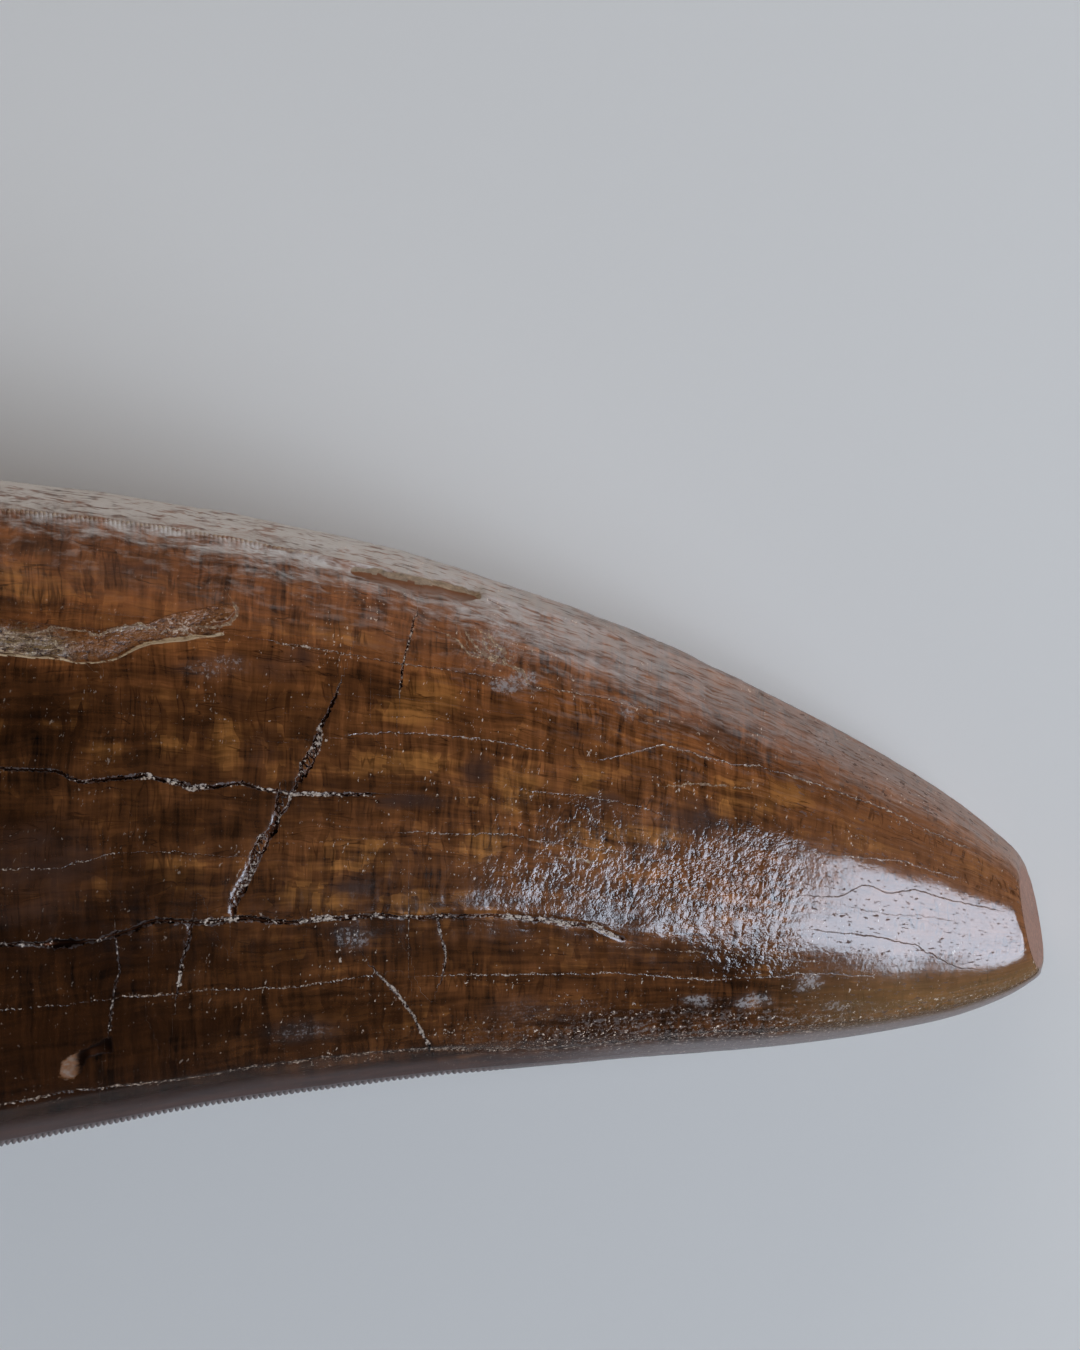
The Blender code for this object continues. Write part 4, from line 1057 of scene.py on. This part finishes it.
def softbox(name, azimuth, elevation, distance, width, height, radiance, colour, target, lean=0.0,
            mirrored=True):
    """A soft studio light that faces the target from an azimuth, counted from +X towards +Y, and leans over
    sideways by an angle. Only mirrored lights are seen in glossy surfaces."""
    light = bpy.data.lights.new(name, "AREA")
    light.shape = "RECTANGLE"
    light.size, light.size_y = width, height
    light.energy = radiance * math.pi * width * height
    light.color = colour
    lamp = bpy.data.objects.new(name, light)
    a, e = math.radians(azimuth), math.radians(elevation)
    direction = Vector((math.cos(a) * math.cos(e), math.sin(a) * math.cos(e), math.sin(e)))
    lamp.location = Vector(target) + direction * distance
    turn = direction.to_track_quat("Z", "Y") @ Quaternion((0.0, 0.0, 1.0), math.radians(lean))
    lamp.rotation_euler = turn.to_euler()
    lamp.visible_camera = False
    lamp.visible_glossy = mirrored
    bpy.context.scene.collection.objects.link(lamp)


def make_camera(shift):
    """The camera, straight above the part of the tooth that is in view."""
    data = bpy.data.cameras.new("camera")
    data.sensor_width = SENSOR_WIDTH
    data.lens = SENSOR_WIDTH * CAMERA_DISTANCE / PICTURE_SIZE
    data.clip_start, data.clip_end = 0.05, 6.0
    camera = bpy.data.objects.new("camera", data)
    x, y = PICTURE_CENTRE * MM + shift[:2]
    camera.location = (x, y, (CAMERA_DISTANCE + PICTURE_HEIGHT) * MM)
    bpy.context.scene.collection.objects.link(camera)
    bpy.context.scene.camera = camera


def make_world():
    """Dim surroundings, with a paler background where the camera sees past the floor."""
    world = bpy.data.worlds.new("studio")
    world.use_nodes = True
    tree = world.node_tree
    background = tree.nodes["Background"]
    background.inputs["Color"].default_value = (0.9, 0.95, 1.0, 1.0)
    path = tree.nodes.new("ShaderNodeLightPath")
    strength = tree.nodes.new("ShaderNodeMix")
    strength.inputs["A"].default_value = 0.02
    strength.inputs["B"].default_value = 0.6
    tree.links.new(path.outputs["Is Camera Ray"], strength.inputs["Factor"])
    tree.links.new(strength.outputs["Result"], background.inputs["Strength"])
    bpy.context.scene.world = world


tooth, shift = make_tooth()
tooth.data.materials.append(enamel_material(shift))
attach(tooth, "root")
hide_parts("tooth")
make_floor()
make_camera(shift)
make_world()

tip_area = (shift[0] - 0.01, shift[1], 0.01)
for name, azimuth, elevation, width, height in WINDOW_PANES:
    softbox(name, azimuth, elevation, WINDOW_DISTANCE, width, height, WINDOW_RADIANCE, WINDOW_COLOUR,
            tip_area, lean=WINDOW_LEAN)
for name, azimuth, elevation, width, height, radiance, colour, mirrored in SOFT_LIGHTS:
    softbox(name, azimuth, elevation, LIGHT_DISTANCE, width, height, radiance, colour, (0, 0, 0),
            mirrored=mirrored)
bpy.context.scene.view_settings.view_transform = "Standard"
